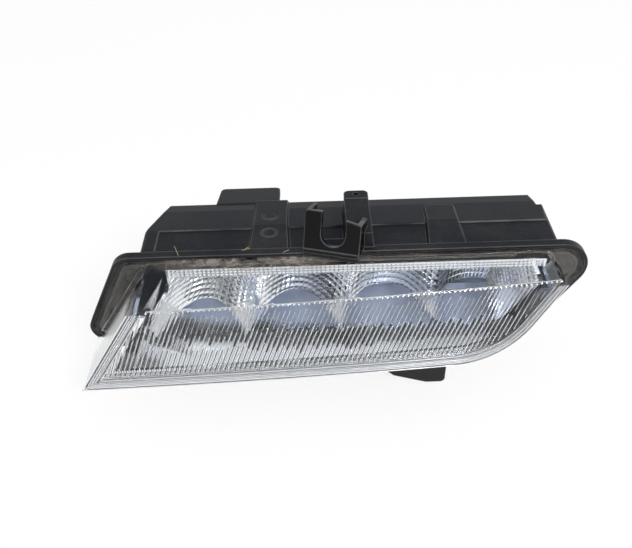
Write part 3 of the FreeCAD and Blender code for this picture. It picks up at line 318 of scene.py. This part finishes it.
# two colours, metallic, roughness, noise scale and the nodes that wear the finish
insideFinishes = {
    "sealantGrey": ((0.02, 0.02, 0.02), (0.05, 0.05, 0.05), 0.0, 0.6, 120.0, ["lens_sealant"]),
    "boardWhite": ((0.7, 0.7, 0.66), (0.8, 0.8, 0.76), 0.0, 0.35, 160.0, ["led_board"]),
    "ledPale": ((0.8, 0.78, 0.62), (0.88, 0.86, 0.74), 0.0, 0.25, 900.0,
                ["led_1", "led_2", "led_3", "led_4"]),
    "padGrey": ((0.3, 0.33, 0.38), (0.38, 0.4, 0.44), 0.0, 0.7, 200.0, ["thermal_pad"]),
    "sinkAluminium": ((0.6, 0.61, 0.62), (0.72, 0.73, 0.74), 1.0, 0.35, 140.0, ["heat_sink", "capacitors"]),
    "boardGreen": ((0.01, 0.09, 0.04), (0.015, 0.13, 0.06), 0.0, 0.3, 220.0, ["driver_board"]),
    "chipBlack": ((0.012, 0.012, 0.012), (0.025, 0.025, 0.025), 0.0, 0.5, 500.0, ["driver_chip"]),
    "chokeDark": ((0.03, 0.027, 0.025), (0.06, 0.05, 0.045), 0.0, 0.55, 400.0, ["choke_coil"]),
    "headerCream": ((0.6, 0.55, 0.42), (0.7, 0.65, 0.52), 0.0, 0.45, 300.0, ["wire_header"]),
    "leadBlack": ((0.012, 0.012, 0.014), (0.03, 0.03, 0.03), 0.0, 0.5, 600.0,
                  ["supply_leads", "jumper_leads"]),
    "bladeTin": ((0.55, 0.5, 0.36), (0.66, 0.62, 0.5), 1.0, 0.28, 500.0, ["plug_terminals"]),
    "screwZinc": ((0.5, 0.51, 0.53), (0.62, 0.63, 0.64), 1.0, 0.3, 500.0,
                  ["reflector_screws", "board_screws", "driver_screws"]),
    "capRubber": ((0.01, 0.01, 0.01), (0.03, 0.029, 0.028), 0.0, 0.65, 300.0, ["breather_cap"]),
    "filterWhite": ((0.7, 0.7, 0.68), (0.8, 0.8, 0.78), 0.0, 0.85, 900.0, ["breather_filter"]),
}
for finishName, (first, second, metal, rough, scale, dressed) in insideFinishes.items():
    finish = plainFinish(finishName, first, second, metal, rough, scale)
    for nodeName in dressed:
        dress(nodes[nodeName], finish)
dress(nodes["rear_housing"], blackPlastic("housingBlack", 0.34, 0.3))
dress(nodes["lens_cover"], clearLens("lensClear"))
dress(nodes["reflector"], brightFilm("cupFilm", 0.05))
dress(nodes["lower_bezel"], floorFilm("floorFilm"))
print("finishes on", len(nodes), "nodes")


# geometry-node pieces: a tree with named inputs, sizes set on the modifier, the result kept as a plain mesh
def newTree(name, inputs):
    tree = bpy.data.node_groups.new(name, "GeometryNodeTree")
    sockets = {}
    for label, kind in inputs.items():
        sockets[label] = tree.interface.new_socket(name=label, in_out="INPUT", socket_type=kind).identifier
    tree.interface.new_socket(name="Geometry", in_out="OUTPUT", socket_type="NodeSocketGeometry")
    f = Finish(tree)
    given = tree.nodes.new("NodeGroupInput")
    size = {label: Val(tree, given.outputs[label]) for label in inputs}
    return f, size, sockets


def closeTree(f, geometry, finish):
    whole = f.node("GeometryNodeRealizeInstances", {}, {"Geometry": geometry})
    done = f.node("GeometryNodeSetMaterial", {}, {"Geometry": whole, "Material": finish})
    f.node("NodeGroupOutput", {}, {"Geometry": done})


def lineMesh(lines):
    points = []
    edges = []
    for line in lines:
        edges += [(len(points) + k, len(points) + k + 1) for k in range(len(line) - 1)]
        points += [tuple(point) for point in line]
    mesh = bpy.data.meshes.new("lines")
    mesh.from_pydata(points, edges, [])
    return mesh


def grownMesh(group, values, thickness=0.0, lines=()):
    tree, sockets = group
    start = bpy.data.objects.new("start", lineMesh(lines))
    bpy.context.collection.objects.link(start)
    grow = start.modifiers.new("grow", "NODES")
    grow.node_group = tree
    for label, value in values.items():
        grow[sockets[label]] = value
    if thickness:
        wall = start.modifiers.new("wall", "SOLIDIFY")
        wall.thickness = thickness
        wall.offset = -1.0
    bpy.context.view_layer.update()
    mesh = bpy.data.meshes.new_from_object(start.evaluated_get(bpy.context.evaluated_depsgraph_get()))
    bpy.data.objects.remove(start)
    return mesh


def addPiece(name, meshes):
    joined = bmesh.new()
    for mesh in meshes:
        joined.from_mesh(mesh)
    whole = bpy.data.meshes.new(name)
    joined.to_mesh(whole)
    joined.free()
    for material in meshes[0].materials:
        whole.materials.append(material)
    piece = bpy.data.objects.new(name, whole)
    bpy.context.collection.objects.link(piece)
    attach(piece, "root")
    return piece


def faceCount(pieces):
    return sum(len(piece.data.polygons) for piece in pieces)


def facetTree():
    floats = ["Axis", "Slope", "Axis Height", "Focus", "Depth", "Top", "Left", "Left Slope", "Right",
              "Right Slope", "Floor", "Floor Break", "Floor Slope", "Columns", "Rows", "Lift", "Bulge",
              "Tilt"]
    inputs = {label: "NodeSocketFloat" for label in floats}
    inputs.update({"Across": "NodeSocketInt", "Down": "NodeSocketInt", "Finish": "NodeSocketMaterial"})
    f, size, sockets = newTree("facets", inputs)
    grid = f.node("GeometryNodeMeshGrid", {}, {"Size X": 1.0, "Size Y": 1.0, "Vertices X": size["Across"],
                                               "Vertices Y": size["Down"]})
    column, row = f.axes(f.node("GeometryNodeInputPosition"))[:2]
    u = column + 0.5
    v = 0.5 - row

    def acrossAt(z):
        left = size["Left"] + size["Left Slope"] * (z - size["Top"])
        right = size["Right"] + size["Right Slope"] * (z - size["Top"])
        return left + (right - left) * u

    def depthAt(z):
        off = acrossAt(z) - size["Axis"] - size["Slope"] * (z - size["Top"])
        rise = z - size["Axis Height"]
        return size["Depth"] - (off * off + rise * rise) / (size["Focus"] * 4.0)

    bottom = size["Floor"]
    for turn in range(3):  # closes in on where the cup's surface meets the sloping floor
        before = (depthAt(bottom) - size["Floor Break"]).math("MINIMUM", 0.0)
        bottom = size["Floor"] + size["Floor Slope"] * before
    z = size["Top"] + (bottom - size["Top"]) * v
    pillow = 1.0
    almost = 0.99999  # keeps the last point in the last facet
    for along, count in ((u, size["Columns"]), (v, size["Rows"])):
        part = (along * count * almost).math("FRACT", 0.0) * 2.0 - 1.0
        pillow = pillow * (1.0 - part * part)
    tilt = size["Tilt"] * (part + 1.0) * 0.5  # each row looks up
    y = depthAt(z) - size["Lift"] - size["Bulge"] * pillow - tilt
    shaped = f.node("ShaderNodeCombineXYZ", {}, {"X": acrossAt(z) * mm + flangeAt.x, "Y": y * mm + flangeAt.y,
                                                 "Z": z * mm + flangeAt.z})
    moved = f.node("GeometryNodeSetPosition", {}, {"Geometry": grid, "Position": shaped})
    closeTree(f, moved, size["Finish"])
    return f.tree, sockets


def tubeTree():
    f, size, sockets = newTree("tubes", {"Path": "NodeSocketGeometry", "Radius": "NodeSocketFloat",
                                         "Sides": "NodeSocketInt", "Finish": "NodeSocketMaterial"})
    curve = f.node("GeometryNodeMeshToCurve", {}, {"Mesh": size["Path"]})
    ring = f.node("GeometryNodeCurvePrimitiveCircle", {}, {"Resolution": size["Sides"],
                                                           "Radius": size["Radius"]})
    tube = f.node("GeometryNodeCurveToMesh", {}, {"Curve": curve, "Profile Curve": ring, "Fill Caps": True})
    closeTree(f, tube, size["Finish"])
    return f.tree, sockets


def beadTree():
    f, size, sockets = newTree("beads", {"Path": "NodeSocketGeometry", "Spacing": "NodeSocketFloat",
                                         "Radius": "NodeSocketFloat", "Finish": "NodeSocketMaterial"})
    curve = f.node("GeometryNodeMeshToCurve", {}, {"Mesh": size["Path"]})
    places = f.node("GeometryNodeResampleCurve", {"mode": "LENGTH"}, {"Curve": curve,
                                                                      "Length": size["Spacing"]})
    bead = f.node("GeometryNodeMeshIcoSphere", {}, {"Radius": size["Radius"], "Subdivisions": 2})
    row = f.node("GeometryNodeInstanceOnPoints", {}, {"Points": places, "Instance": bead,
                                                      "Scale": (1.0, 1.0, 1.0)})
    closeTree(f, row, size["Finish"])
    return f.tree, sockets


facetGroup = facetTree()
tubeGroup = tubeTree()
beadGroup = beadTree()


def facetMesh(t, values, finish):
    values.update({"Top": t["top"], "Columns": float(t["columns"]), "Rows": float(t["rows"]),
                   "Lift": t["lift"], "Bulge": t["bulge"], "Tilt": t["tilt"],
                   "Across": t["columns"] * t["parts"] + 1, "Down": t["rows"] * t["parts"] + 1,
                   "Finish": finish})
    return grownMesh(facetGroup, values, t["skin"] * mm)


def tubeMesh(radius, sides, finish, lines):
    return grownMesh(tubeGroup, {"Radius": radius, "Sides": sides, "Finish": finish}, 0.0, lines)


# small pillow facets over the cups' mirror film, millimetres as in the frame's flange drawing
cupSettings = {"cups": 4, "firstX": -58.7, "pitch": 41.3, "slope": 0.25, "refZ": -20.0, "axisZ": -11.0,
               "focus": 8.3, "firstDepth": 22.1, "step": 2.3, "top": -11.2, "leftAtTop": -74.2,
               "leftSlope": 0.62, "rightAtTop": 89.0, "rightSlope": 0.70, "floorZ": -30.9, "floorBreak": 12.4,
               "floorSlope": 0.27, "columns": 20, "rows": 12, "parts": 4, "lift": 0.28, "bulge": 0.17,
               "tilt": 0.42, "skin": 0.25}


def cupFacets(finish):
    t = cupSettings
    shift = 2 * t["focus"] * t["step"] / t["pitch"]  # neighbours meet off centre, since each steps back
    cups = []
    for index in range(t["cups"]):
        axis = t["firstX"] + t["pitch"] * index + t["slope"] * (t["top"] - t["refZ"])
        low = (axis - t["pitch"] / 2 + shift, t["slope"])
        high = (axis + t["pitch"] / 2 + shift, t["slope"])
        if index == 0:
            low = (t["leftAtTop"], t["leftSlope"])
        if index == t["cups"] - 1:
            high = (t["rightAtTop"], t["rightSlope"])
        cups.append(facetMesh(t, {
            "Axis": axis, "Slope": t["slope"], "Axis Height": t["axisZ"], "Focus": t["focus"],
            "Depth": t["firstDepth"] + t["step"] * index, "Left": low[0], "Left Slope": low[1],
            "Right": high[0], "Right Slope": high[1], "Floor": t["floorZ"], "Floor Break": t["floorBreak"],
            "Floor Slope": t["floorSlope"]}, finish))
    return addPiece("cupFacets", cups)


# the same pillows, three rows high, on the strip above the cups; the focus is so long that the strip is flat
browSettings = {"left": -75.6, "right": 89.6, "top": -6.8, "bottom": -11.1, "front": -1.0, "focus": 1.0e6,
                "columns": 86, "rows": 3, "parts": 4, "lift": 0.1, "bulge": 0.30, "tilt": 0.12, "skin": 0.2}


def browFacets(finish):
    t = browSettings
    strip = facetMesh(t, {
        "Axis": 0.0, "Slope": 0.0, "Axis Height": 0.0, "Focus": t["focus"], "Depth": t["front"],
        "Left": t["left"], "Left Slope": 0.0, "Right": t["right"], "Right Slope": 0.0,
        "Floor": t["bottom"], "Floor Break": t["front"], "Floor Slope": 0.0}, finish)
    return addPiece("browFacets", [strip])


# smooth cheeks that close the film between the end cups and the lens's walls: top, inner and outer corner
cheekSettings = {"left": ((-75.0, 12.0, -12.0), (-83.2, -3.4, -27.0), (-88.6, -3.8, -27.0)),
                 "right": ((92.5, -0.8, -8.0), (83.6, -0.8, -17.0), (87.2, -2.2, -17.0)),
                 "rows": 10, "columns": 6, "start": 0.03, "bow": 1.1, "skin": 0.4}


def cheekMesh(side, finish):
    t = cheekSettings
    top, inner, outer = [Vector(corner) for corner in t[side]]
    patch = bmesh.new()
    rows = []
    for i in range(t["rows"] + 1):
        share = t["start"] + (1 - t["start"]) * i / t["rows"]
        ends = top.lerp(inner, share), top.lerp(outer, share)
        row = []
        for j in range(t["columns"] + 1):
            point = ends[1].lerp(ends[0], j / t["columns"])
            bow = t["bow"] * share * math.sin(math.pi * j / t["columns"])
            row.append(patch.verts.new(at(point.x, point.y + bow, point.z)))
        rows.append(row)
    for high, low in zip(rows, rows[1:]):
        for j in range(t["columns"]):
            patch.faces.new((high[j], low[j], low[j + 1], high[j + 1]))
    bmesh.ops.solidify(patch, geom=patch.faces[:], thickness=t["skin"] * mm)
    bmesh.ops.recalc_face_normals(patch, faces=patch.faces[:])
    mesh = bpy.data.meshes.new("cheek")
    patch.to_mesh(mesh)
    patch.free()
    mesh.materials.append(finish)
    return mesh


facets = cupFacets(brightFilm("facetFilm", 0.04, True))
brow = browFacets(brightFilm("browFilm", 0.04))
cheekFinish = brightFilm("cheekFilm", 0.2)
cheeks = addPiece("endCheeks", [cheekMesh(side, cheekFinish) for side in ("left", "right")])
print("film facets and cheeks:", faceCount([facets, brow, cheeks]), "faces")

# the lens's front as drawn: an arc in plan that leans to the right and back as it rises
frontSettings = {"arc": ((-130.0, -27.8), (-5.6, -23.8), (120.0, -14.4)), "refZ": -8.0, "leanX": 0.40,
                 "leanY": 0.17, "top": -2.8, "topSlope": 0.17, "topBend": 0.2, "left": -85.0,
                 "leftSlope": 0.67, "right": 99.5, "rightSlope": 0.65, "bottom": -46.4, "corner": 40.0,
                 "margin": 5.4, "ridge": 2.15, "flutes": 116}


def frontPoint(x, z, inward):
    t = frontSettings
    depth = 0.0
    for i, (xi, yi) in enumerate(t["arc"]):  # curve through the three drawn points
        for j, (xj, yj) in enumerate(t["arc"]):
            yi = yi * (x - xj) / (xi - xj) if i != j else yi
        depth += yi
    rise = z - t["refZ"]
    return Vector((x + t["leanX"] * rise, depth + t["leanY"] * rise + inward, z))


def topHeight(y):
    t = frontSettings
    return t["top"] + t["topSlope"] * min(y - t["topBend"], 0.0)


def sidesAt(z, inset):
    t = frontSettings
    leftFoot, rightFoot = t["leftSlope"], t["rightSlope"]
    drop = t["top"] - inset - z
    left = t["left"] + inset * (math.hypot(1, leftFoot) - leftFoot) - leftFoot * drop
    right = t["right"] - inset * (math.hypot(1, rightFoot) + rightFoot) - rightFoot * drop
    return left, right


def inPanel(point):
    t = frontSettings
    inset = t["margin"]
    low = t["bottom"] + inset
    left, right = sidesAt(point.z, inset)
    if point.z < low or point.x < left or point.x > right:
        return False
    corner = Vector((sidesAt(low, inset)[1], 0.0, low))
    radius = t["corner"] - inset
    leftward = Vector((-1.0, 0.0, 0.0))
    bisector = (leftward + Vector((t["rightSlope"], 0.0, 1.0)).normalized()).normalized()
    halfAngle = bisector.angle(leftward)
    centre = corner + bisector * (radius / math.sin(halfAngle))
    flat = Vector((point.x, 0.0, point.z)) - centre
    return flat.length < radius or flat.dot(-bisector) < radius * math.sin(halfAngle)


# row of beads where the flutes end at the front's top edge, with the edge's own line above it, both bright:
# painted highlights
beadSettings = {"from": -81.0, "to": 91.0, "steps": 60, "startZ": -7.0, "turns": 4, "beadBack": 0.35,
                "beadDrop": 0.75, "edgeBack": 0.75, "edgeDrop": 0.30, "spacing": 0.00215, "radius": 0.00052,
                "edge": 0.00022, "sides": 6}


def beadRow(finish):
    t = beadSettings
    path = []
    rim = []
    for k in range(t["steps"] + 1):
        x = t["from"] + (t["to"] - t["from"]) * k / t["steps"]
        z = t["startZ"]
        for turn in range(t["turns"]):  # closes in on where the front meets the top
            z = topHeight(frontPoint(x, z, 0.0).y)
        edge = frontPoint(x, z, 0.0)
        path.append(at(edge.x, edge.y + t["beadBack"], edge.z - t["beadDrop"]))
        rim.append(at(edge.x, edge.y + t["edgeBack"], edge.z - t["edgeDrop"]))
    values = {"Spacing": t["spacing"], "Radius": t["radius"], "Finish": finish}
    row = grownMesh(beadGroup, values, 0.0, [path])
    return addPiece("beadRow", [row, tubeMesh(t["edge"], t["sides"], finish, [rim])])


# lines along the flutes behind the front: fine bright tips above and wide ones below as painted highlights,
# painted shade lines between
fluteSettings = {"fine": {"shift": 0.0, "top": -10.6, "bottom": -21.0, "radius": 0.00011, "ragged": 2.5},
                 "wide": {"shift": 0.0, "top": -20.0, "bottom": -46.0, "radius": 0.00027, "ragged": 3.0},
                 "shade": {"shift": 0.5, "top": -20.5, "bottom": -34.5, "radius": 0.00046, "ragged": 5.0},
                 "shadeThin": {"shift": 0.5, "top": -28.0, "bottom": -46.0, "radius": 0.00021, "ragged": 2.0},
                 "seed": 5, "step": 0.5, "behind": 0.12, "fewest": 4, "sides": 5,
                 "left": -66.0, "ramp": 55.0, "raiseTop": 3.5, "raiseBottom": 8.5}


def fluteLines(name, finish, part):
    t = fluteSettings
    own = t[part]
    dice = random.Random(t["seed"])
    first, last = frontSettings["arc"][0][0], frontSettings["arc"][2][0]
    lines = []
    for k in range(frontSettings["flutes"] + 1):
        x = first + (last - first) * (k + own["shift"]) / frontSettings["flutes"]
        z = own["top"] - dice.random() * own["ragged"]
        bottom = own["bottom"]
        if part == "shade":  # the shade sits higher and ends sooner towards the left
            leftward = 1.0 - min(max((x - t["left"]) / t["ramp"], 0.0), 1.0)
            z += t["raiseTop"] * leftward
            bottom += dice.random() * own["ragged"] + t["raiseBottom"] * leftward
        run = []
        while z > max(bottom, frontSettings["bottom"]):
            point = frontPoint(x, z, frontSettings["ridge"] + t["behind"])
            if inPanel(point):
                run.append(at(*point))
            z -= t["step"]
        if len(run) >= t["fewest"]:
            lines.append([run[0], run[-1]])
    return addPiece(name, [tubeMesh(own["radius"], t["sides"], finish, lines)])


# fine lines along the lens's moulded rim: bright ones as painted highlights with darker ones between them as
# painted shade
rimSettings = {"bright": (0.3, 1.5, 2.4, 3.2, 5.0), "dark": (0.9, 4.1), "wide": 0.00034, "fine": 0.00017,
               "inward": 0.7, "drop": 6.0, "turns": 14, "steps": 24, "sides": 6}


def rimPath(inset):
    t = frontSettings
    steps, turns = rimSettings["steps"], rimSettings["turns"]
    low = t["bottom"] + inset
    high = t["top"] - rimSettings["drop"]
    leftLow, rightLow = sidesAt(low, inset)
    radius = t["corner"] - inset
    lean = math.atan2(-t["rightSlope"], 1.0)
    reach = radius * math.tan((lean + math.pi / 2) / 2)
    centre = Vector((rightLow - reach, 0.0, low + radius))
    flat = []
    for k in range(steps):  # down the left side
        z = high + (low - high) * k / steps
        flat.append((sidesAt(z, inset)[0], z))
    for k in range(steps):  # along the foot
        flat.append((leftLow + (centre.x - leftLow) * k / steps, low))
    for k in range(turns + 1):  # round the corner
        angle = -math.pi / 2 + (lean + math.pi / 2) * k / turns
        flat.append((centre.x + radius * math.cos(angle), centre.z + radius * math.sin(angle)))
    cornerZ = flat[-1][1]
    for k in range(1, steps + 1):  # up the right side
        z = cornerZ + (high - cornerZ) * k / steps
        flat.append((sidesAt(z, inset)[1], z))
    line = []
    for x, z in flat:
        start = x - t["leanX"] * (z - t["refZ"])
        line.append(at(*frontPoint(start, z, rimSettings["inward"])))
    return line


def rimLines(name, finish, insets, radius):
    lines = [rimPath(inset) for inset in insets]
    return addPiece(name, [tubeMesh(radius, rimSettings["sides"], finish, lines)])


# hairs caught on the lens's top; straws on the top and the flange, each with x, y, run and rise
fibreSettings = {"seed": 11, "count": 34, "left": -52.0, "right": 12.0, "near": -1.0, "far": -9.0,
                 "mostNear": -2.0, "short": 2.0, "long": 7.5, "mostLong": 3.0, "spread": 0.5, "bend": 0.9,
                 "parts": 6, "lift": 0.08, "past": 0.6, "radius": 0.00009, "sides": 5}
strawSettings = {"straws": ((-69.5, 0.8, -1.2, 4.6), (-41.5, 3.0, 2.2, 1.3), (-42.5, 3.2, 3.6, 0.3),
                            (-24.5, 0.8, 2.6, 0.7)),
                 "parts": 5, "flangeLift": 0.05, "topLift": 0.1, "back": 0.8, "arch": 0.6, "thicker": 1.15}


def fibres(name, finish, radius, lines):
    return addPiece(name, [tubeMesh(radius, fibreSettings["sides"], finish, lines)])


def hairLines():
    t = fibreSettings
    dice = random.Random(t["seed"])
    lines = []
    for k in range(t["count"]):
        x = dice.uniform(t["left"], t["right"])
        y = dice.triangular(t["far"], t["near"], t["mostNear"])
        part = dice.triangular(t["short"], t["long"], t["mostLong"]) / t["parts"]
        angle = dice.gauss(0.0, t["spread"])
        bend = dice.uniform(-t["bend"], t["bend"])
        line = []
        for j in range(t["parts"] + 1):
            line.append(at(x, y, topHeight(y) + t["lift"]))
            x += part * math.cos(angle)
            y = min(y + part * math.sin(angle), t["near"] + t["past"])
            angle += bend / t["parts"]
        lines.append(line)
    return lines


def strawLines():
    t = strawSettings
    lines = []
    for x, y, along, rise in t["straws"]:
        z = t["flangeLift"] if y > 0 else topHeight(y) + t["topLift"]
        line = []
        for j in range(t["parts"] + 1):
            share = j / t["parts"]
            climb = rise * share * (1 + t["arch"] - t["arch"] * share)
            line.append(at(x + along * share, y + t["back"] * share, z + climb))
        lines.append(line)
    return lines


hairFinish = plainFinish("hairBeige", (0.30, 0.25, 0.18), (0.46, 0.40, 0.30), 0.0, 0.6, 400.0)
strawFinish = plainFinish("strawYellow", (0.40, 0.35, 0.17), (0.52, 0.47, 0.30), 0.0, 0.6, 300.0)
strawRadius = fibreSettings["radius"] * strawSettings["thicker"]
caught = [fibres("lensHairs", hairFinish, fibreSettings["radius"], hairLines()),
          fibres("flangeStraws", strawFinish, strawRadius, strawLines())]
print("hairs and straws:", faceCount(caught), "faces")

# a bright finish for the painted highlights in the lens, dark ones for the painted shade lines
paintedHighlightFinish = plainFinish("paintedHighlight", (0.82, 0.84, 0.87), (0.9, 0.91, 0.93), 0.6, 0.12, 300.0)
fluteShade = plainFinish("fluteShade", (0.018, 0.019, 0.022), (0.06, 0.062, 0.068), 0.0, 0.25, 60.0)
rimShade = plainFinish("rimShade", (0.10, 0.094, 0.088), (0.20, 0.19, 0.18), 0.0, 0.3, 200.0)
paintedLensLines = [beadRow(paintedHighlightFinish),
           fluteLines("fluteTips", paintedHighlightFinish, "wide"),
           fluteLines("fluteTipsFine", paintedHighlightFinish, "fine"),
           fluteLines("fluteShade", fluteShade, "shade"),
           fluteLines("fluteShadeThin", fluteShade, "shadeThin"),
           rimLines("rimBright", paintedHighlightFinish, rimSettings["bright"], rimSettings["wide"]),
           rimLines("rimDark", rimShade, rimSettings["dark"], rimSettings["fine"])]
print("beads, flute lines and rim lines:", faceCount(paintedLensLines), "faces")

# pale floor that keeps the shadow, shown near white to the camera, the mirrors and the lens
stageSettings = {"drop": 0.002, "half": 3.0, "colour": (0.93, 0.93, 0.93), "second": (0.95, 0.95, 0.95),
                 "scale": 3.0, "rough": 0.9, "show": 0.8}
half = stageSettings["half"]
level = cadLow[2] - stageSettings["drop"]
corners = [(-half, -half, level), (half, -half, level), (half, half, level), (-half, half, level)]
floorMesh = bpy.data.meshes.new("floor")
floorMesh.from_pydata(corners, [], [(0, 1, 2, 3)])
floor = bpy.data.objects.new("floor", floorMesh)
bpy.context.collection.objects.link(floor)
floorFinish, f = newFinish("floorPale")
shade = f.noise(f.place(), stageSettings["scale"], 2.0)
floorColour = f.blend(shade, stageSettings["colour"], stageSettings["second"])
pale = f.body({"Base Color": floorColour, "Roughness": stageSettings["rough"]})
white = f.node("ShaderNodeEmission", {}, {"Color": (1.0, 1.0, 1.0), "Strength": 1.0})
seen = f.node("ShaderNodeLightPath", output="Is Camera Ray")
for ray in ("Is Glossy Ray", "Is Transmission Ray"):
    seen = seen.math("MAXIMUM", f.node("ShaderNodeLightPath", output=ray))
f.surface(f.layer(seen * stageSettings["show"], pale, white))
dress(floor, floorFinish)

# white for the camera; metal and glass see a bright front and right, a dim left and a deeper sky behind
skySettings = {"white": (1.0, 1.0, 1.0), "behind": (0.36, 0.42, 0.54), "overhead": (0.14, 0.15, 0.18),
               "through": (0.80, 0.82, 0.86), "dim": (0.3, 0.31, 0.34), "behindAt": (-0.1, 0.5),
               "behindUp": (0.1, 0.5), "overheadUp": (0.75, 0.95), "dimAt": (-0.25, -0.8), "strength": 0.88}
world = bpy.data.worlds.new("sky")
bpy.context.scene.world = world
world.use_nodes = True
f = Finish(world.node_tree)
across, inward, height = f.axes(f.node("ShaderNodeTexCoord", output="Generated"))
behind = f.step(inward, *skySettings["behindAt"]) * f.step(height, *skySettings["behindUp"])
around = f.blend(behind, skySettings["white"], skySettings["behind"])
skies = {}
for name in ("overhead", "through"):  # what mirrors show from above, and what comes in through the lens
    skies[name] = f.blend(f.step(height, *skySettings["overheadUp"]), around, skySettings[name])
    skies[name] = f.blend(f.step(across, *skySettings["dimAt"]), skies[name], skySettings["dim"])
direct, mirror, through = [f.node("ShaderNodeLightPath", output=ray) for ray in
                           ("Is Camera Ray", "Is Glossy Ray", "Is Transmission Ray")]
skyColour = f.blend(mirror * (1 - direct), skySettings["white"], skies["overhead"])
skyColour = f.blend(through * (1 - direct), skyColour, skies["through"])
seen = direct.math("MAXIMUM", mirror.math("MAXIMUM", through))
strength = skySettings["strength"] + (1 - skySettings["strength"]) * seen
background = f.node("ShaderNodeBackground", {}, {"Color": skyColour, "Strength": strength})
f.node("ShaderNodeOutputWorld", {}, {"Surface": background})

# one soft lamp from the front right
lampSettings = {"place": at(310.0, -700.0, 640.0), "aim": at(0.0, 0.0, -25.0), "size": 0.22, "power": 5.0}
lampData = bpy.data.lights.new("windowLight", "AREA")
lampData.shape = "DISK"
lampData.size = lampSettings["size"]
lampData.energy = lampSettings["power"]
lamp = bpy.data.objects.new("windowLight", lampData)
bpy.context.collection.objects.link(lamp)
lampTurn = (lampSettings["aim"] - lampSettings["place"]).to_track_quat("-Z", "Y")
lamp.matrix_world = Matrix.Translation(lampSettings["place"]) @ lampTurn.to_matrix().to_4x4()

# camera where the photo was taken from: degrees down and of roll, focal length and width in pixels
cameraSettings = {"place": at(-10.6, -251.0, 198.7), "down": 40.0, "roll": 1.8, "focal": 745.92, "wide": 632,
                  "sensor": 36.0, "nearest": 0.01}
down = math.radians(cameraSettings["down"])
roll = math.radians(cameraSettings["roll"])
ahead = Vector((0.0, math.cos(down), -math.sin(down)))
sideways = Vector((1.0, 0.0, 0.0))
upright = sideways.cross(ahead)
right = sideways * math.cos(roll) - upright * math.sin(roll)
above = sideways * math.sin(roll) + upright * math.cos(roll)
cameraData = bpy.data.cameras.new("photoCamera")
cameraData.sensor_fit = "HORIZONTAL"
cameraData.sensor_width = cameraSettings["sensor"]
cameraData.lens = cameraSettings["sensor"] * cameraSettings["focal"] / cameraSettings["wide"]
cameraData.clip_start = cameraSettings["nearest"]
camera = bpy.data.objects.new("photoCamera", cameraData)
bpy.context.collection.objects.link(camera)
turn = Matrix((right, above, -ahead)).transposed().to_4x4()
camera.matrix_world = Matrix.Translation(cameraSettings["place"]) @ turn
bpy.context.scene.camera = camera
bpy.context.scene.view_settings.view_transform = "Standard"
print("stage and camera set")
